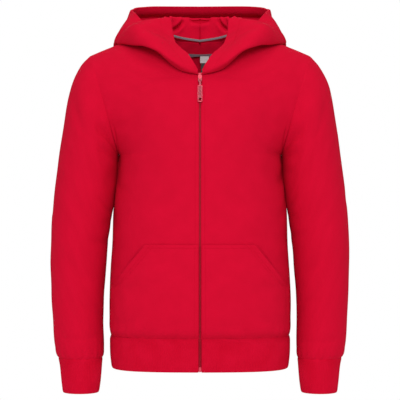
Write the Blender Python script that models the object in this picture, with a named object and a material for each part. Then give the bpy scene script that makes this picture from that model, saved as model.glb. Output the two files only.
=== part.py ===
"""A child's zip-through hooded sweatshirt, filled out and hollow, as if on an unseen figure.

+Z is up, the front faces -Y and the wearer's left is at +X. The origin is the middle of the neck, level with
the back neck seam. The tables are in millimetres and MM turns them into metres. Each table row is one section
of the garment, so a size is changed in one place. The left side is worked out and the right side mirrors it.
"""

import math

import bmesh
import bpy
import numpy as np

MM = 0.001
SEAM_GAP = 0.3
FLEECE = 1.8
RIB = 2.2
HOOD_SHELL = 1.6
HOOD_LINING = 1.2
TAPE = 0.7

HEM_SEAM_Z = -470.0
HEM_Z = -521.0
UNDERARM_Z = -184.0
ZIP_TOP_Z = -62.0
ZIP_EDGE = 2.3
FULLNESS = 1.75

# Armhole: a plane loop from the shoulder tip round the underarm. Angle 0 is the tip, 90 the front.
ARMHOLE_MIDDLE = (153.0, 2.0, -105.0)
ARMHOLE_HALF_LEAN = 23.0
ARMHOLE_HALF_DEPTH = 57.0
ARMHOLE_HALF_HEIGHT = 79.0
ARMHOLE_CUT_IN = 3.0
RING_POINTS = 16

# The body's outline, from the hem seam up: height, centre front y, centre back y.
CENTRE_LINE = [
    (-521, -97.5, 93.5),
    (-500, -100.5, 96.5),
    (-478, -101.5, 97.5),
    (-470, -102.5, 98.0),
    (-462, -105.5, 101.0),
    (-440, -108.0, 103.0),
    (-390, -108.5, 104.0),
    (-330, -107.0, 101.0),
    (-262, -105.5, 98.0),
    (-184, -105.0, 99.0),
    (-150, -103.5, 101.5),
    (-120, -100.5, 102.0),
    (-90, -95.5, 99.0),
    (-62, -88.0, 92.0),
    (-30, -80.0, 80.0),
    (4, -70.0, 60.0),
]

# The side seam, from the hem up: height, x, y, and how square the section is there (1.66 is round).
SIDE_LINE = [
    (-521, 139.5, -1.5, 2.3),
    (-500, 141.8, -1.5, 2.25),
    (-478, 142.2, -1.5, 2.2),
    (-470, 142.0, -1.5, 2.2),
    (-462, 143.8, -1.5, 2.2),
    (-440, 144.3, -1.0, 2.15),
    (-390, 144.0, 0.0, 2.05),
    (-330, 140.3, 0.5, 1.9),
    (-262, 137.0, 1.0, 1.8),
    (-213, 130.8, 1.5, FULLNESS),
    (-184, 130.0, 2.0, FULLNESS),
]

# The neck seam, from the zip (0) round to the centre back (1): place, x, y, z.
NECK_SEAM = [
    (0.0, ZIP_EDGE, -88.0, ZIP_TOP_Z),
    (0.1, 17, -86.0, -58),
    (0.2, 34, -79.0, -49),
    (0.3, 52, -65.0, -31),
    (0.4, 66, -41.0, -6),
    (0.5, 72, -10.0, 13),
    (0.6, 70, 15.0, 16),
    (0.7, 59, 35.0, 14),
    (0.85, 31, 53.0, 8),
    (1.0, 0, 60.0, 4),
]

# How each section of the half body leaves the centre edge and reaches the side edge, as two tangents.
# 1 is the front underarm, 2 the zip top, 3 the shoulder seam, 4 the back neck, 5 the back underarm.
SECTIONS = [
    # place, leaving x, y, z, arriving x, y, z
    (1.0, FULLNESS * 128, 0, 0, 0, FULLNESS * 107, 0),
    (1.5, 205, 0, 0, 60, 95, -20),
    (2.0, 165, 0, -20, 110, 50, -50),
    (2.5, 112, -8, -22, 105, 26, -45),
    (3.0, 104, 4, -36, 104, 6, -48),
    (3.5, 120, 20, -22, 105, -20, -60),
    (4.0, 165, 4, -8, 95, -55, -60),
    (4.5, 205, 0, 0, 55, -95, -18),
    (5.0, FULLNESS * 130, 0, 0, 0, -FULLNESS * 97, 0),
]

# The sleeve, from the armhole down: place, outer x, z, inner x, z, middle y, half depth.
SLEEVE = [
    (0.00, 176.0, -26, 130.0, -184, 2, 57.0),
    (0.05, 189.5, -40, 132.2, -193, 2, 58.5),
    (0.10, 201.0, -60, 133.2, -202, 1, 59.0),
    (0.18, 211.0, -94, 133.4, -216, 0, 58.0),
    (0.28, 219.0, -145, 136.0, -236, -1, 56.0),
    (0.38, 226.0, -195, 139.6, -262, -2, 53.5),
    (0.48, 232.0, -242, 143.2, -292, -4, 51.0),
    (0.58, 236.5, -292, 147.6, -330, -6, 48.5),
    (0.68, 238.0, -345, 150.4, -368, -8, 46.0),
    (0.78, 236.5, -397, 152.6, -406, -11, 43.5),
    (0.88, 233.5, -445, 153.6, -448, -14, 41.0),
    (0.96, 230.0, -488, 153.0, -488, -17, 38.5),
    (0.99, 227.5, -501, 153.8, -501, -18, 36.5),
    (1.00, 224.5, -506, 155.0, -506, -18, 35.0),
]

# The cuff, a rib tube below the sleeve: place, outer x, z, inner x, z, middle y, half depth.
CUFF = [
    (0.00, 224.5, -506, 155.0, -506, -18, 35.0),
    (0.25, 222.4, -518, 155.6, -518, -18.5, 33.5),
    (0.60, 220.0, -541, 157.4, -541, -19.5, 31.5),
    (1.00, 217.6, -560.5, 160.2, -560.5, -20, 29.5),
]

# The hood lying back, one row for each section from the zip (0) to the centre back (1). Each section runs
# from the neck seam over the lip, down the wall, round the bottom fold, up the outer face and to the rim.
HOOD = [
    # place, lip x, y, z, wall x, y, z, bottom x, y, z, face x, y, z, rim x, y, z
    (0.0, 3.4, -91, -60, 3.6, -91.5, -58.5, 3.7, -91.5, -57, 3.4, -91, -55.5, 3, -90, -54),
    (0.1, 17.4, -90.5, -59, 18.0, -93.5, -58.8, 18.4, -95, -56, 15, -94, -50, 8.5, -87, -43),
    (0.2, 35.5, -84.5, -51, 37.5, -89.5, -51.5, 40, -92, -48, 36, -91, -36, 21, -76, -28),
    (0.3, 55.5, -71, -31, 60, -76.5, -32.5, 65, -80, -29, 60, -80, -13, 37, -59, -13),
    (0.4, 71.5, -47, -4.5, 79, -55, -8, 90, -61, -11, 86, -63, 8, 42.5, -39, 6),
    (0.5, 80, -15, 14, 95, -24, 5, 114, -34, -4, 104, -44, 19, 49, -24, 32),
    (0.6, 72, 9, 31, 98, 8, 16, 130, -3, -4, 115, -15, 20, 80, -10, 27),
    (0.7, 57, 35, 39, 86, 48, 6, 137, 31, -7, 120, 22, 31, 103, 14, 43),
    (0.8, 42, 50, 41, 66, 68, -12, 128, 70, -43, 118, 63, 22, 111, 58, 57),
    (0.9, 22, 61, 42, 33, 86, -36, 84, 100, -98, 94, 106, -2, 80, 86, 66),
    (1.0, 0, 65, 42, 0, 92, -48, 0, 114, -122, 0, 131, -30, 0, 99, 63),
]

# The pocket: height and how far out it reaches, as a part of the way to the side seam.
POCKET_TOP_Z = -325.0
POCKET_OPENING_Z = -392.0
POCKET_TOP_REACH = 0.375
POCKET_SIDE_REACH = 0.78
POCKET_EDGE_CURVE = 0.6
POCKET_MOUTH_LIFT = 2.5
POCKET_CLEAR = 1.0

# The zip: tapes behind the front edges, a chain between them, a slider at the top and a pull tab hinged on it.
ZIP_TAPE_WIDTH = 13.0
ZIP_SET_BACK = 3.6
CHAIN_HALF_WIDTH = 1.7
CHAIN_FRONT = 0.5
CHAIN_BACK = 2.6
ZIP_LEVELS = (
    *(-512, -500, -485, -478, -470, -462, -450, -420, -390),
    *(-350, -300, -262, -220, -184, -150, -120, -98, -84),
)
HINGE_Z = -69.0
SLIDER_WIDTH = 6.2
SLIDER_TOP = 6.0
SLIDER_BOTTOM = -3.4
PLATE_THICKNESS = 2.0
PLATE_CLEAR = 0.7
HINGE_CLEAR = 1.35
BRIDGE_BAR = 1.0
BRIDGE_HALF_WIDTH = 1.1
PULL_THICKNESS = 1.4
PULL_RING = (5.6, 5.8, 3.4, 3.25)
PULL_BAR = 0.75
PULL_NECK = (2.6, 10.6)
PULL_TAB = (7.6, 26.5)
PULL_HOLE = (4.4, 4.8, 1.6)
PULL_REST_GAP = 1.2

# The back neck: the tape over its seam, the half-moon facing under it with a bound edge, and two blank labels.
NECK_TAPE_FROM = 0.68
NECK_TAPE_RISE = 2.4
NECK_TAPE_DROP = 1.2
NECK_TAPE_INSIDE = 2.8
FACING = 1.2
FACING_REACH = 0.4
FACING_DEPTH = 0.105
FACING_CLEAR = 2.6
FACING_INSIDE = FLEECE + FACING_CLEAR + FACING
FACING_STARTS = 0.28
BINDING_ABOVE = 2.6
BINDING_BELOW = 0.8
BINDING_CLEAR = 0.6
LABEL = 0.5
LABEL_Y = 64.5
LABEL_GAP = 1.2
SIZE_LABEL = (0.3, 14.4, -31.0, -20.0)
NECK_LABEL = (1.8, 12.8, -49.0, -31.5)

RED = (0.60, 0.006, 0.032)
GREY = (0.33, 0.27, 0.29)
DARK = (0.022, 0.012, 0.014)
ZIP_RED = (0.35, 0.01, 0.025)
METAL_RED = (0.62, 0.05, 0.08)


def hermite(first, last, leaving, arriving, u):
    """The cubic from first to last with those end tangents, at u between 0 and 1."""
    u = np.asarray(u, float)[..., None]
    return (
        (2 * u**3 - 3 * u**2 + 1) * first
        + (u**3 - 2 * u**2 + u) * leaving
        + (3 * u**2 - 2 * u**3) * last
        + (u**3 - u**2) * arriving
    )


def through(table, at):
    """A smooth curve through a table's rows, whose first column is the place, read at the places in at."""
    table = np.asarray(table, float)
    knots = table[:, 0]
    values = table[:, 1:]
    slopes = np.gradient(values, knots, axis=0)
    at = np.asarray(at, float)
    i = np.clip(np.searchsorted(knots, at, side="right") - 1, 0, len(knots) - 2)
    width = knots[i + 1] - knots[i]
    pull = width[..., None]
    u = (at - knots[i]) / width
    return hermite(values[i], values[i + 1], slopes[i] * pull, slopes[i + 1] * pull, u)


def unit(vectors):
    return vectors / np.linalg.norm(vectors, axis=-1, keepdims=True)


def normals(grid, ring=False):
    """Unit normals of a grid of points: across its columns, crossed with down its rows."""
    down = np.gradient(grid, axis=0, edge_order=2)
    if ring:
        across = np.roll(grid, -1, axis=1) - np.roll(grid, 1, axis=1)
    else:
        across = np.gradient(grid, axis=1, edge_order=2)
    return unit(np.cross(across, down))


def mirrored(grid):
    return grid * (-1, 1, 1)


def both_sides(half):
    """A grid over both sides from the grid of the left half, whose first column is the centre."""
    return np.concatenate([mirrored(half)[:, :0:-1], half], axis=1)


def shared_normals(own, other):
    """Edge normals leaning to the neighbour's where the seam is a ridge, so that thick edges don't meet."""
    agreement = np.clip((own * other).sum(axis=-1, keepdims=True), 0, 1)
    return unit(own + agreement * other)


def pulled_in(grid, rows=(True, True), columns=(True, True), by=0.6 * SEAM_GAP):
    """The grid with the chosen first and last rows and columns moved in along the cloth, for the seam gap."""
    grid = grid.copy()
    if rows[0]:
        grid[0] += by * unit(grid[1] - grid[0])
    if rows[1]:
        grid[-1] += by * unit(grid[-2] - grid[-1])
    if columns[0]:
        grid[:, 0] += by * unit(grid[:, 1] - grid[:, 0])
    if columns[1]:
        grid[:, -1] += by * unit(grid[:, -2] - grid[:, -1])
    return grid


def armhole(angle):
    """The armhole loop, at angles in degrees."""
    turn = np.radians(angle)
    x, y, z = ARMHOLE_MIDDLE
    lean = ARMHOLE_HALF_LEAN * np.cos(turn) - ARMHOLE_CUT_IN * np.sin(turn) ** 2
    depth = ARMHOLE_HALF_DEPTH * np.sin(turn)
    height = ARMHOLE_HALF_HEIGHT * np.cos(turn)
    return np.stack([x + lean, y - depth, z + height], axis=-1)


def body(place, s):
    """Points of the left half body. Place runs 0 to 6 from the front hem seam over the shoulder to the back hem
    seam, and past both ends down the rib band. s runs 0 to 1 from the centre edge to the side edge."""
    place, s = np.broadcast_arrays(np.asarray(place, float), np.asarray(s, float))
    front = place < 3
    rise = np.where(front, place, 6 - place)
    level = rise <= 1
    neck_z = np.where(front, ZIP_TOP_Z, NECK_SEAM[-1][3])
    z = np.where(
        level,
        HEM_SEAM_Z + rise * (UNDERARM_Z - HEM_SEAM_Z),
        UNDERARM_Z + (np.minimum(rise, 2) - 1) * (neck_z - UNDERARM_Z),
    )
    centre_y = through(CENTRE_LINE, z)
    centre_y = np.where(front, centre_y[..., 0], centre_y[..., 1])
    centre = np.stack([np.where(front, ZIP_EDGE, 0), centre_y, z], axis=-1)
    neck = through(NECK_SEAM, np.clip((place - 2) / 2, 0, 1))
    first = np.where((rise <= 2)[..., None], centre, neck)
    side = through(SIDE_LINE, np.minimum(z, UNDERARM_Z))
    fullness = side[..., 2]
    side = np.concatenate([side[..., :2], z[..., None]], axis=-1)
    last = np.where(level[..., None], side, armhole(90 * (3 - place)))
    tangents = through(SECTIONS, np.clip(place, 1, 5))
    nothing = np.zeros_like(z)
    level_leaving = np.stack([fullness * (side[..., 0] - centre[..., 0]), nothing, nothing], axis=-1)
    level_arriving = np.stack([nothing, fullness * (side[..., 1] - centre_y), nothing], axis=-1)
    leaving = np.where(level[..., None], level_leaving, tangents[..., :3])
    arriving = np.where(level[..., None], level_arriving, tangents[..., 3:])
    return hermite(first, last, leaving, arriving, s)


def body_normals(place, s, step=0.004):
    """Outward normals of the body's surface, from the slopes along s and along place."""
    across = body(place, s + step) - body(place, s - step)
    down = body(place + step, s) - body(place - step, s)
    return unit(np.cross(across, down))


def rings(table, places, count=RING_POINTS):
    """Closed oval sections of a tube, each row from the outer side round by the front."""
    rows = through(table, places)[:, :, None]
    outer_x, outer_z, inner_x, inner_z, middle_y, depth = (rows[:, k] for k in range(6))
    turn = np.linspace(0, 2 * math.pi, count, endpoint=False)[None, :]
    x = (outer_x + inner_x) / 2 + (outer_x - inner_x) / 2 * np.cos(turn)
    y = middle_y - depth * np.sin(turn)
    z = (outer_z + inner_z) / 2 + (outer_z - inner_z) / 2 * np.cos(turn)
    return np.stack([x, y, z], axis=-1)


def material(name, colour, roughness, metallic=0.0):
    """The Principled material of that name, made once."""
    made = bpy.data.materials.get(name) or bpy.data.materials.new(name)
    made.use_nodes = True
    shader = made.node_tree.nodes["Principled BSDF"]
    shader.inputs["Base Color"].default_value = (*colour, 1)
    shader.inputs["Roughness"].default_value = roughness
    shader.inputs["Metallic"].default_value = metallic
    return made


def add_object(name, mesh, finish):
    mesh.materials.append(finish)
    obj = bpy.data.objects.new(name, mesh)
    bpy.context.scene.collection.objects.link(obj)
    return obj


def wall(name, outer, inner, finish, ring=False):
    """A closed solid between two grids of the same size, an outer and an inner face, with rims between them."""
    rows, columns = outer.shape[:2]
    count = rows * columns
    steps = columns if ring else columns - 1
    index = np.arange(count).reshape(rows, columns)
    right = np.roll(index, -1, axis=1)
    faces = np.stack([index[:-1], right[:-1], right[1:], index[1:]], axis=-1)[:, :steps].reshape(-1, 4)
    edges = [
        np.stack([index[0], right[0]], axis=-1)[:steps],
        np.stack([index[-1], right[-1]], axis=-1)[:steps],
    ]
    if not ring:
        edges.append(np.stack([index[:-1, 0], index[1:, 0]], axis=-1))
        edges.append(np.stack([index[:-1, -1], index[1:, -1]], axis=-1))
    edges = np.concatenate(edges)
    rims = np.concatenate([edges, edges[:, ::-1] + count], axis=1)
    mesh = bpy.data.meshes.new(name)
    points = np.concatenate([outer.reshape(-1, 3), inner.reshape(-1, 3)]) * MM
    every_face = np.concatenate([faces, faces + count, rims])
    mesh.from_pydata(points.tolist(), [], every_face.tolist())
    shell = bmesh.new()
    shell.from_mesh(mesh)
    bmesh.ops.recalc_face_normals(shell, faces=shell.faces)
    shell.to_mesh(mesh)
    shell.free()
    mesh.shade_smooth()
    mesh.set_sharp_from_angle(angle=math.radians(50))
    return add_object(name, mesh, finish)


def cloth(name, grid, thickness, finish, out=None, ring=False):
    """A cloth wall whose outer face is the grid, as thick as given along its normals."""
    out = normals(grid, ring) if out is None else out
    return wall(name, grid, grid - thickness * out, finish, ring)


def laid_on(name, grid, start, thickness, finish, out=None):
    """A thin piece over a grid of points, from start to start + thickness away from it along its normals."""
    out = normals(grid) if out is None else out
    return wall(name, grid + (start + thickness) * out, grid + start * out, finish)


def on_both_sides(build, name, grid, *sizes, **more):
    """The same piece on the left and, mirrored, on the right."""
    build(f"{name}_left", grid, *sizes, **more)
    flipped = {key: value for key, value in more.items() if key != "out"}
    if "out" in more:
        flipped["out"] = mirrored(more["out"])
    else:
        flipped["out"] = mirrored(normals(grid, more.get("ring", False)))
    build(f"{name}_right", mirrored(grid), *sizes, **flipped)


LEVEL_PLACES = np.array([0, 0.03, 0.1, 0.25, 0.42, 0.6, 0.8])
FRONT_PLACES = np.concatenate([LEVEL_PLACES, np.linspace(1, 3, RING_POINTS // 2 + 1)])
BACK_PLACES = 6 - FRONT_PLACES[::-1]
ACROSS = np.linspace(0, 1, 11)
NECK_STEPS = 5


def back_grid():
    """Place and s over the left half of the back. Its top row runs along the neck seam and the shoulder seam."""
    neck = np.linspace(4, 3, NECK_STEPS + 1)
    shoulder = np.linspace(0, 1, len(ACROSS) - NECK_STEPS + 1)[1:]
    top_place = np.concatenate([neck, np.full(len(shoulder), 3.0)])
    top_s = np.concatenate([np.zeros(len(neck)), shoulder])
    bottom_s = np.linspace(0, 1, len(top_s))
    down = ((BACK_PLACES - 3) / 3)[:, None]
    place = top_place + down * (6 - top_place)
    s = top_s + np.minimum(1, 1.5 * down) * (bottom_s - top_s)
    return place, s


def add_body(fleece):
    """Front and back panels of one smooth form, split at the shoulder and side seams and round the neck.

    It returns the normals round the armhole, in the order of the sleeve's ring of points."""
    half = RING_POINTS // 2
    underarm = len(LEVEL_PLACES)
    turn = np.linspace(1, 5, RING_POINTS + 1)
    loop = body_normals(turn, 1.0)
    from_tip = np.concatenate([loop[half::-1], loop[-2:half:-1]])
    sleeve_out = normals(rings(SLEEVE, SLEEVE_PLACES), ring=True)[0]
    mates = sleeve_out[(half - np.arange(RING_POINTS + 1)) % RING_POINTS]
    rim = shared_normals(loop, mates)
    side = shared_normals(body_normals(LEVEL_PLACES, 1.0), body_normals(6 - LEVEL_PLACES, 1.0))
    front = body(FRONT_PLACES[:, None], ACROSS)
    out = body_normals(FRONT_PLACES[:, None], ACROSS)
    out[:underarm, -1] = side
    out[underarm:, -1] = rim[: half + 1]
    front = pulled_in(front, columns=(False, True))
    on_both_sides(cloth, "front", front, FLEECE, fleece, out=out)
    place, s = back_grid()
    back = body(place, s)
    back[:, 0, 0] = 0.0
    out = body_normals(place, s)
    out[:, 0, 0] = 0.0
    out[: half + 1, -1] = rim[half:]
    out[half + 1 :, -1] = side[::-1]
    cloth("back", pulled_in(both_sides(back)), FLEECE, fleece, out=unit(both_sides(out)))
    return from_tip


SLEEVE_PLACES = np.array(
    [0, 0.05, 0.1, 0.17, 0.25, 0.33, 0.42, 0.51, 0.6, 0.69, 0.78, 0.87, 0.93, 0.965, 0.985, 1]
)


def add_sleeves(fleece, rib, body_out):
    """Each sleeve is a tube from the armhole to its cuff, and each cuff a narrower rib tube."""
    grid = rings(SLEEVE, SLEEVE_PLACES)
    out = normals(grid, ring=True)
    out[0] = shared_normals(out[0], body_out)
    grid = pulled_in(grid, rows=(True, True), columns=(False, False))
    on_both_sides(cloth, "sleeve", grid, FLEECE, fleece, out=out, ring=True)
    cuff = rings(CUFF, np.linspace(0, 1, 5))
    cuff = pulled_in(cuff, rows=(True, False), columns=(False, False))
    on_both_sides(cloth, "cuff", cuff, RIB, rib, ring=True)


def add_hem_band(rib):
    """The rib band below the body, open at the zip."""
    foot = (HEM_Z - HEM_SEAM_Z) / (UNDERARM_Z - HEM_SEAM_Z)
    place = np.linspace(0, foot, 5)[:, None]
    front = body(place, ACROSS)
    back = body(6 - place, ACROSS[-2::-1])
    half = np.concatenate([front, back], axis=1)[:, ::-1]
    band = pulled_in(both_sides(half), rows=(True, False), columns=(False, False))
    cloth("hem_band", band, RIB, rib, out=-normals(band))


def add_pockets(fleece):
    """The two halves of the pocket, made from the front panel's own points, moved out."""
    z = np.array([HEM_SEAM_Z + 1.5, -461, -441, -415, POCKET_OPENING_Z, -372, -350, POCKET_TOP_Z])
    slope = np.clip((z - POCKET_OPENING_Z) / (POCKET_TOP_Z - POCKET_OPENING_Z), 0, 1)
    reach = POCKET_SIDE_REACH + slope**POCKET_EDGE_CURVE * (POCKET_TOP_REACH - POCKET_SIDE_REACH)
    place = ((z - HEM_SEAM_Z) / (UNDERARM_Z - HEM_SEAM_Z))[:, None]
    s = reach[:, None] * np.linspace(0, 1, 8)
    grid = body(place, s)
    lift = POCKET_MOUTH_LIFT * np.sin(math.pi * slope)[:, None] * np.linspace(0, 1, 8) ** 6
    out = body_normals(place, s)
    out[0, :, 2] = 0
    out = unit(out)
    grid = grid + lift[..., None] * out
    on_both_sides(laid_on, "pocket", grid, POCKET_CLEAR, FLEECE, fleece, out=out)


def hood_sheet(places, along):
    """The middle of the hood's two layers. Rows run from the neck seam to the rim, columns from zip to back."""
    body_out = body_normals(2 + 2 * places, 0.01)
    seam = through(NECK_SEAM, places) + (HOOD_SHELL + 3 * SEAM_GAP) * body_out
    named = through(HOOD, places).reshape(len(places), 5, 3)
    stations = np.concatenate([seam[:, None], named], axis=1)
    step = np.linalg.norm(np.diff(stations, axis=1), axis=2).mean(axis=0)
    knots = np.concatenate([[0], np.cumsum(np.sqrt(step))])
    columns = [through(np.column_stack([knots / knots[-1], points]), along) for points in stations]
    return np.stack(columns, axis=1)


def add_hood(fleece, lining):
    """Each half of the hood is an outer shell with a lining inside it, joined at the rim and the centre seam."""
    places = np.concatenate([np.linspace(0, 0.4, 6), np.linspace(0.48, 1, 7)])
    along = np.linspace(0, 1, 13)
    grid = hood_sheet(places, along)
    grid[:, -1, 0] = 0
    out = normals(grid)
    out[:, -1, 0] = 0
    out = unit(out)
    grid = pulled_in(grid, rows=(False, False), columns=(False, True))
    on_both_sides(laid_on, "hood", grid, SEAM_GAP / 2, HOOD_SHELL, fleece, out=out)
    on_both_sides(laid_on, "hood_lining", grid, -SEAM_GAP / 2 - HOOD_LINING, HOOD_LINING, lining, out=out)


def front_edge(z, behind):
    """The y of a surface that far behind the front edge's outer face."""
    return through(CENTRE_LINE, z)[..., 0] + behind


def strip(z, x, behind, bow=0.0):
    """A grid behind the front edge: rows at the heights z, columns at the places x."""
    x = np.broadcast_to(x, (len(z), np.shape(x)[-1]))
    y = front_edge(z, behind)[:, None] + bow * (x / ZIP_TAPE_WIDTH) ** 2
    return np.stack([x, y, np.broadcast_to(z[:, None], x.shape)], axis=-1)


def add_zip(tape, teeth):
    """The two tapes, and the closed chain in the gap between the front edges."""
    slider_foot = HINGE_Z + SLIDER_BOTTOM - 0.5
    z = np.array([HEM_Z + 1, *ZIP_LEVELS, slider_foot, ZIP_TOP_Z + 2.5])
    parting = np.where(z < slider_foot, 0.15, 1.5)
    across = parting[:, None] + np.linspace(0, 1, 3) * (ZIP_TAPE_WIDTH - parting)[:, None]
    grid = strip(z, across, ZIP_SET_BACK, bow=0.5)
    wall("zip_tape_left", grid, grid + (0, TAPE, 0), tape)
    wall("zip_tape_right", mirrored(grid), mirrored(grid) + (0, TAPE, 0), tape)
    z = z[1:-1]
    across = np.array([-CHAIN_HALF_WIDTH, CHAIN_HALF_WIDTH])
    wall("zip_chain", strip(z, across, CHAIN_FRONT), strip(z, across, CHAIN_BACK), teeth)


def prism(name, outline, front, back, finish, bevel=0.0):
    """A solid between two y planes with a flat outline of x, z points."""
    shape = bmesh.new()
    points = [shape.verts.new((x * MM, front * MM, z * MM)) for x, z in outline]
    face = shape.faces.new(points)
    moved = bmesh.ops.extrude_face_region(shape, geom=[face])["geom"]
    raised = [item for item in moved if isinstance(item, bmesh.types.BMVert)]
    bmesh.ops.translate(shape, verts=raised, vec=(0, (back - front) * MM, 0))
    bmesh.ops.recalc_face_normals(shape, faces=shape.faces)
    if bevel:
        bmesh.ops.bevel(
            shape, geom=shape.edges[:], offset=bevel * MM, segments=2, profile=0.5, affect="EDGES"
        )
    mesh = bpy.data.meshes.new(name)
    shape.to_mesh(mesh)
    shape.free()
    mesh.shade_smooth()
    mesh.set_sharp_from_angle(angle=math.radians(35))
    return add_object(name, mesh, finish)


def rounded(width, top, bottom, radius, steps=3):
    """The x, z outline of an upright rectangle with round corners, anticlockwise."""
    middles = [
        (width / 2 - radius, top - radius, 0),
        (radius - width / 2, top - radius, 90),
        (radius - width / 2, bottom + radius, 180),
        (width / 2 - radius, bottom + radius, 270),
    ]
    outline = []
    for x, z, start in middles:
        for step in range(steps + 1):
            turn = math.radians(start + 90 * step / steps)
            outline.append((x + radius * math.cos(turn), z + radius * math.sin(turn)))
    return outline


def combine(obj, other, operation):
    """Join another solid to this one, or cut it away, and hide the other."""
    modifier = obj.modifiers.new(other.name, "BOOLEAN")
    modifier.operation = operation
    modifier.object = other
    other.hide_render = True
    other.display_type = "WIRE"


def add_slider(metal):
    """The slider: a front plate, a core between the tapes, a back plate, and a bridge that holds the pull."""
    surface = float(front_edge(np.float64(HINGE_Z + SLIDER_BOTTOM), 0))
    face = surface - PLATE_CLEAR - PLATE_THICKNESS
    hinge_y = face - HINGE_CLEAR
    top = HINGE_Z + SLIDER_TOP
    bottom = HINGE_Z + SLIDER_BOTTOM
    slider = prism(
        "zip_slider", rounded(SLIDER_WIDTH, top, bottom, 2.2), face, face + PLATE_THICKNESS, metal, 0.4
    )
    behind = float(front_edge(np.float64(ZIP_TOP_Z), ZIP_SET_BACK + TAPE)) + 0.8
    core = prism("slider_core", rounded(2.0, top - 1, bottom + 1, 0.8), face + 1, behind + 1, metal)
    back_plate = prism(
        "slider_back_plate", rounded(SLIDER_WIDTH, top, bottom, 2.2), behind, behind + 1.4, metal
    )
    high = HINGE_CLEAR + BRIDGE_BAR
    bridge = prism(
        "slider_bridge",
        rounded(2 * BRIDGE_HALF_WIDTH, HINGE_Z + high, HINGE_Z - high, 0.5, 1),
        hinge_y - high,
        face + 0.5,
        metal,
        0.2,
    )
    slot = prism(
        "slider_slot",
        rounded(2 * SLIDER_WIDTH, HINGE_Z + HINGE_CLEAR, HINGE_Z - HINGE_CLEAR, 0.3, 1),
        hinge_y - HINGE_CLEAR,
        face - 0.001,
        metal,
    )
    combine(bridge, slot, "DIFFERENCE")
    combine(slider, core, "UNION")
    combine(slider, back_plate, "UNION")
    combine(slider, bridge, "UNION")
    return hinge_y


def add_pull(metal, hinge_y):
    """The die-cast pull: a ring through the bridge, a short neck and a flat tab with a hole, as one piece.

    It is drawn hanging from its hinge at its own origin, then leaned out to lie just off the chest."""
    half = PULL_THICKNESS / 2
    ring_width, ring_length, eye_width, eye_length = PULL_RING
    neck_width, tab_top = PULL_NECK
    tab_width, tab_length = PULL_TAB
    hole_width, hole_height, hole_rise = PULL_HOLE
    tab_end = -tab_top - tab_length
    tab = prism("zip_pull", rounded(tab_width, -tab_top, tab_end, 1.4), -half - 0.2, half + 0.2, metal, 0.3)
    ring = prism("pull_ring", rounded(ring_width, PULL_BAR, PULL_BAR - ring_length, 1.8), -half, half, metal)
    eye = prism("pull_eye", rounded(eye_width, -PULL_BAR, -PULL_BAR - eye_length, 1.0), -2, 2, metal)
    neck = prism(
        "pull_neck", rounded(neck_width, -ring_length + 1.2, -tab_top - 1, 0.4, 1), -half, half, metal
    )
    hole_base = tab_end + hole_rise
    hole = prism("pull_hole", rounded(hole_width, hole_base + hole_height, hole_base, 0.8), -2, 2, metal)
    combine(ring, eye, "DIFFERENCE")
    combine(tab, ring, "UNION")
    combine(tab, neck, "UNION")
    combine(tab, hole, "DIFFERENCE")
    lowest = HINGE_Z + tab_end
    rest_y = float(front_edge(np.float64(lowest), 0)) - PULL_REST_GAP - half - 0.2
    hinge = bpy.data.objects.new("pull_hinge", None)
    bpy.context.scene.collection.objects.link(hinge)
    hinge.location = (0, hinge_y * MM, HINGE_Z * MM)
    hinge.rotation_euler.x = math.atan2(rest_y - hinge_y, -tab_end)
    for piece in (tab, ring, eye, neck, hole):
        piece.parent = hinge


def add_zip_ends(metal):
    """A top stop on each tape, and the box at the bottom of the zip."""
    y = float(front_edge(np.float64(ZIP_TOP_Z), 0))
    stop = np.array(rounded(1.3, ZIP_TOP_Z + 2.2, ZIP_TOP_Z - 0.4, 0.3, 1)) + (1.15, 0)
    prism("zip_stop_left", stop, y + 0.8, y + CHAIN_BACK, metal)
    prism("zip_stop_right", (stop * (-1, 1))[::-1], y + 0.8, y + CHAIN_BACK, metal)
    y = float(front_edge(np.float64(HEM_Z + 8), 0))
    prism("zip_box", rounded(3.6, HEM_Z + 8.4, HEM_Z + 0.6, 0.6, 1), y + 0.2, y + CHAIN_BACK, metal)


def add_back_neck(tape, fleece, label, dark_label):
    """What shows inside the back neck: the tape over the seam, the bound facing and two blank labels."""
    seam = both_sides(through(NECK_SEAM, np.linspace(1, NECK_TAPE_FROM, 9))[None])[0]
    heading = unit(np.gradient(seam, axis=0) * (1, 1, 0))
    inward = np.stack([heading[:, 1], -heading[:, 0], heading[:, 2]], axis=-1)
    rise = np.array([NECK_TAPE_RISE, -NECK_TAPE_DROP])[:, None, None] * (0, 0, 1)
    grid = seam + NECK_TAPE_INSIDE * inward + rise
    wall("neck_tape", grid, grid + TAPE * inward, tape)
    grid, out = facing_grid(np.linspace(FACING_STARTS, 1, 4)[:, None])
    laid_on("neck_facing", grid, -FACING_INSIDE, FACING, fleece, out=out)
    facing = facing_grid(np.linspace(0, 1, 4)[:, None])[0]
    length = np.linalg.norm(np.diff(facing, axis=0), axis=-1).sum(axis=0)[facing.shape[1] // 2 :]
    edges = np.array([-BINDING_ABOVE, BINDING_BELOW])[:, None] / np.maximum(length, 2 * BINDING_ABOVE)
    grid, out = facing_grid(1 + edges)
    laid_on("facing_binding", grid, -FACING_INSIDE - BINDING_CLEAR - TAPE, TAPE, tape, out=out)
    add_label("size_label", SIZE_LABEL, LABEL_Y, label)
    add_label("neck_label", NECK_LABEL, LABEL_Y + LABEL_GAP, dark_label)


def facing_grid(down):
    """The half-moon facing on the back panel's own surface, rows from the neck seam down and columns across,
    with that surface's normals."""
    c = np.linspace(0, 1, 8)
    top = 4 - FACING_REACH * c
    low = 4 + FACING_DEPTH - 0.17 * c**2 - 0.33 * c**8
    low_s = 0.4 * c * (1 - c**5) + 0.02 * c
    place = top + down * (low - top)
    s = down * low_s
    points = body(place, s)
    out = body_normals(place, s)
    points[:, 0, 0] = 0
    out[:, 0, 0] = 0
    return both_sides(points), unit(both_sides(out))


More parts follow.
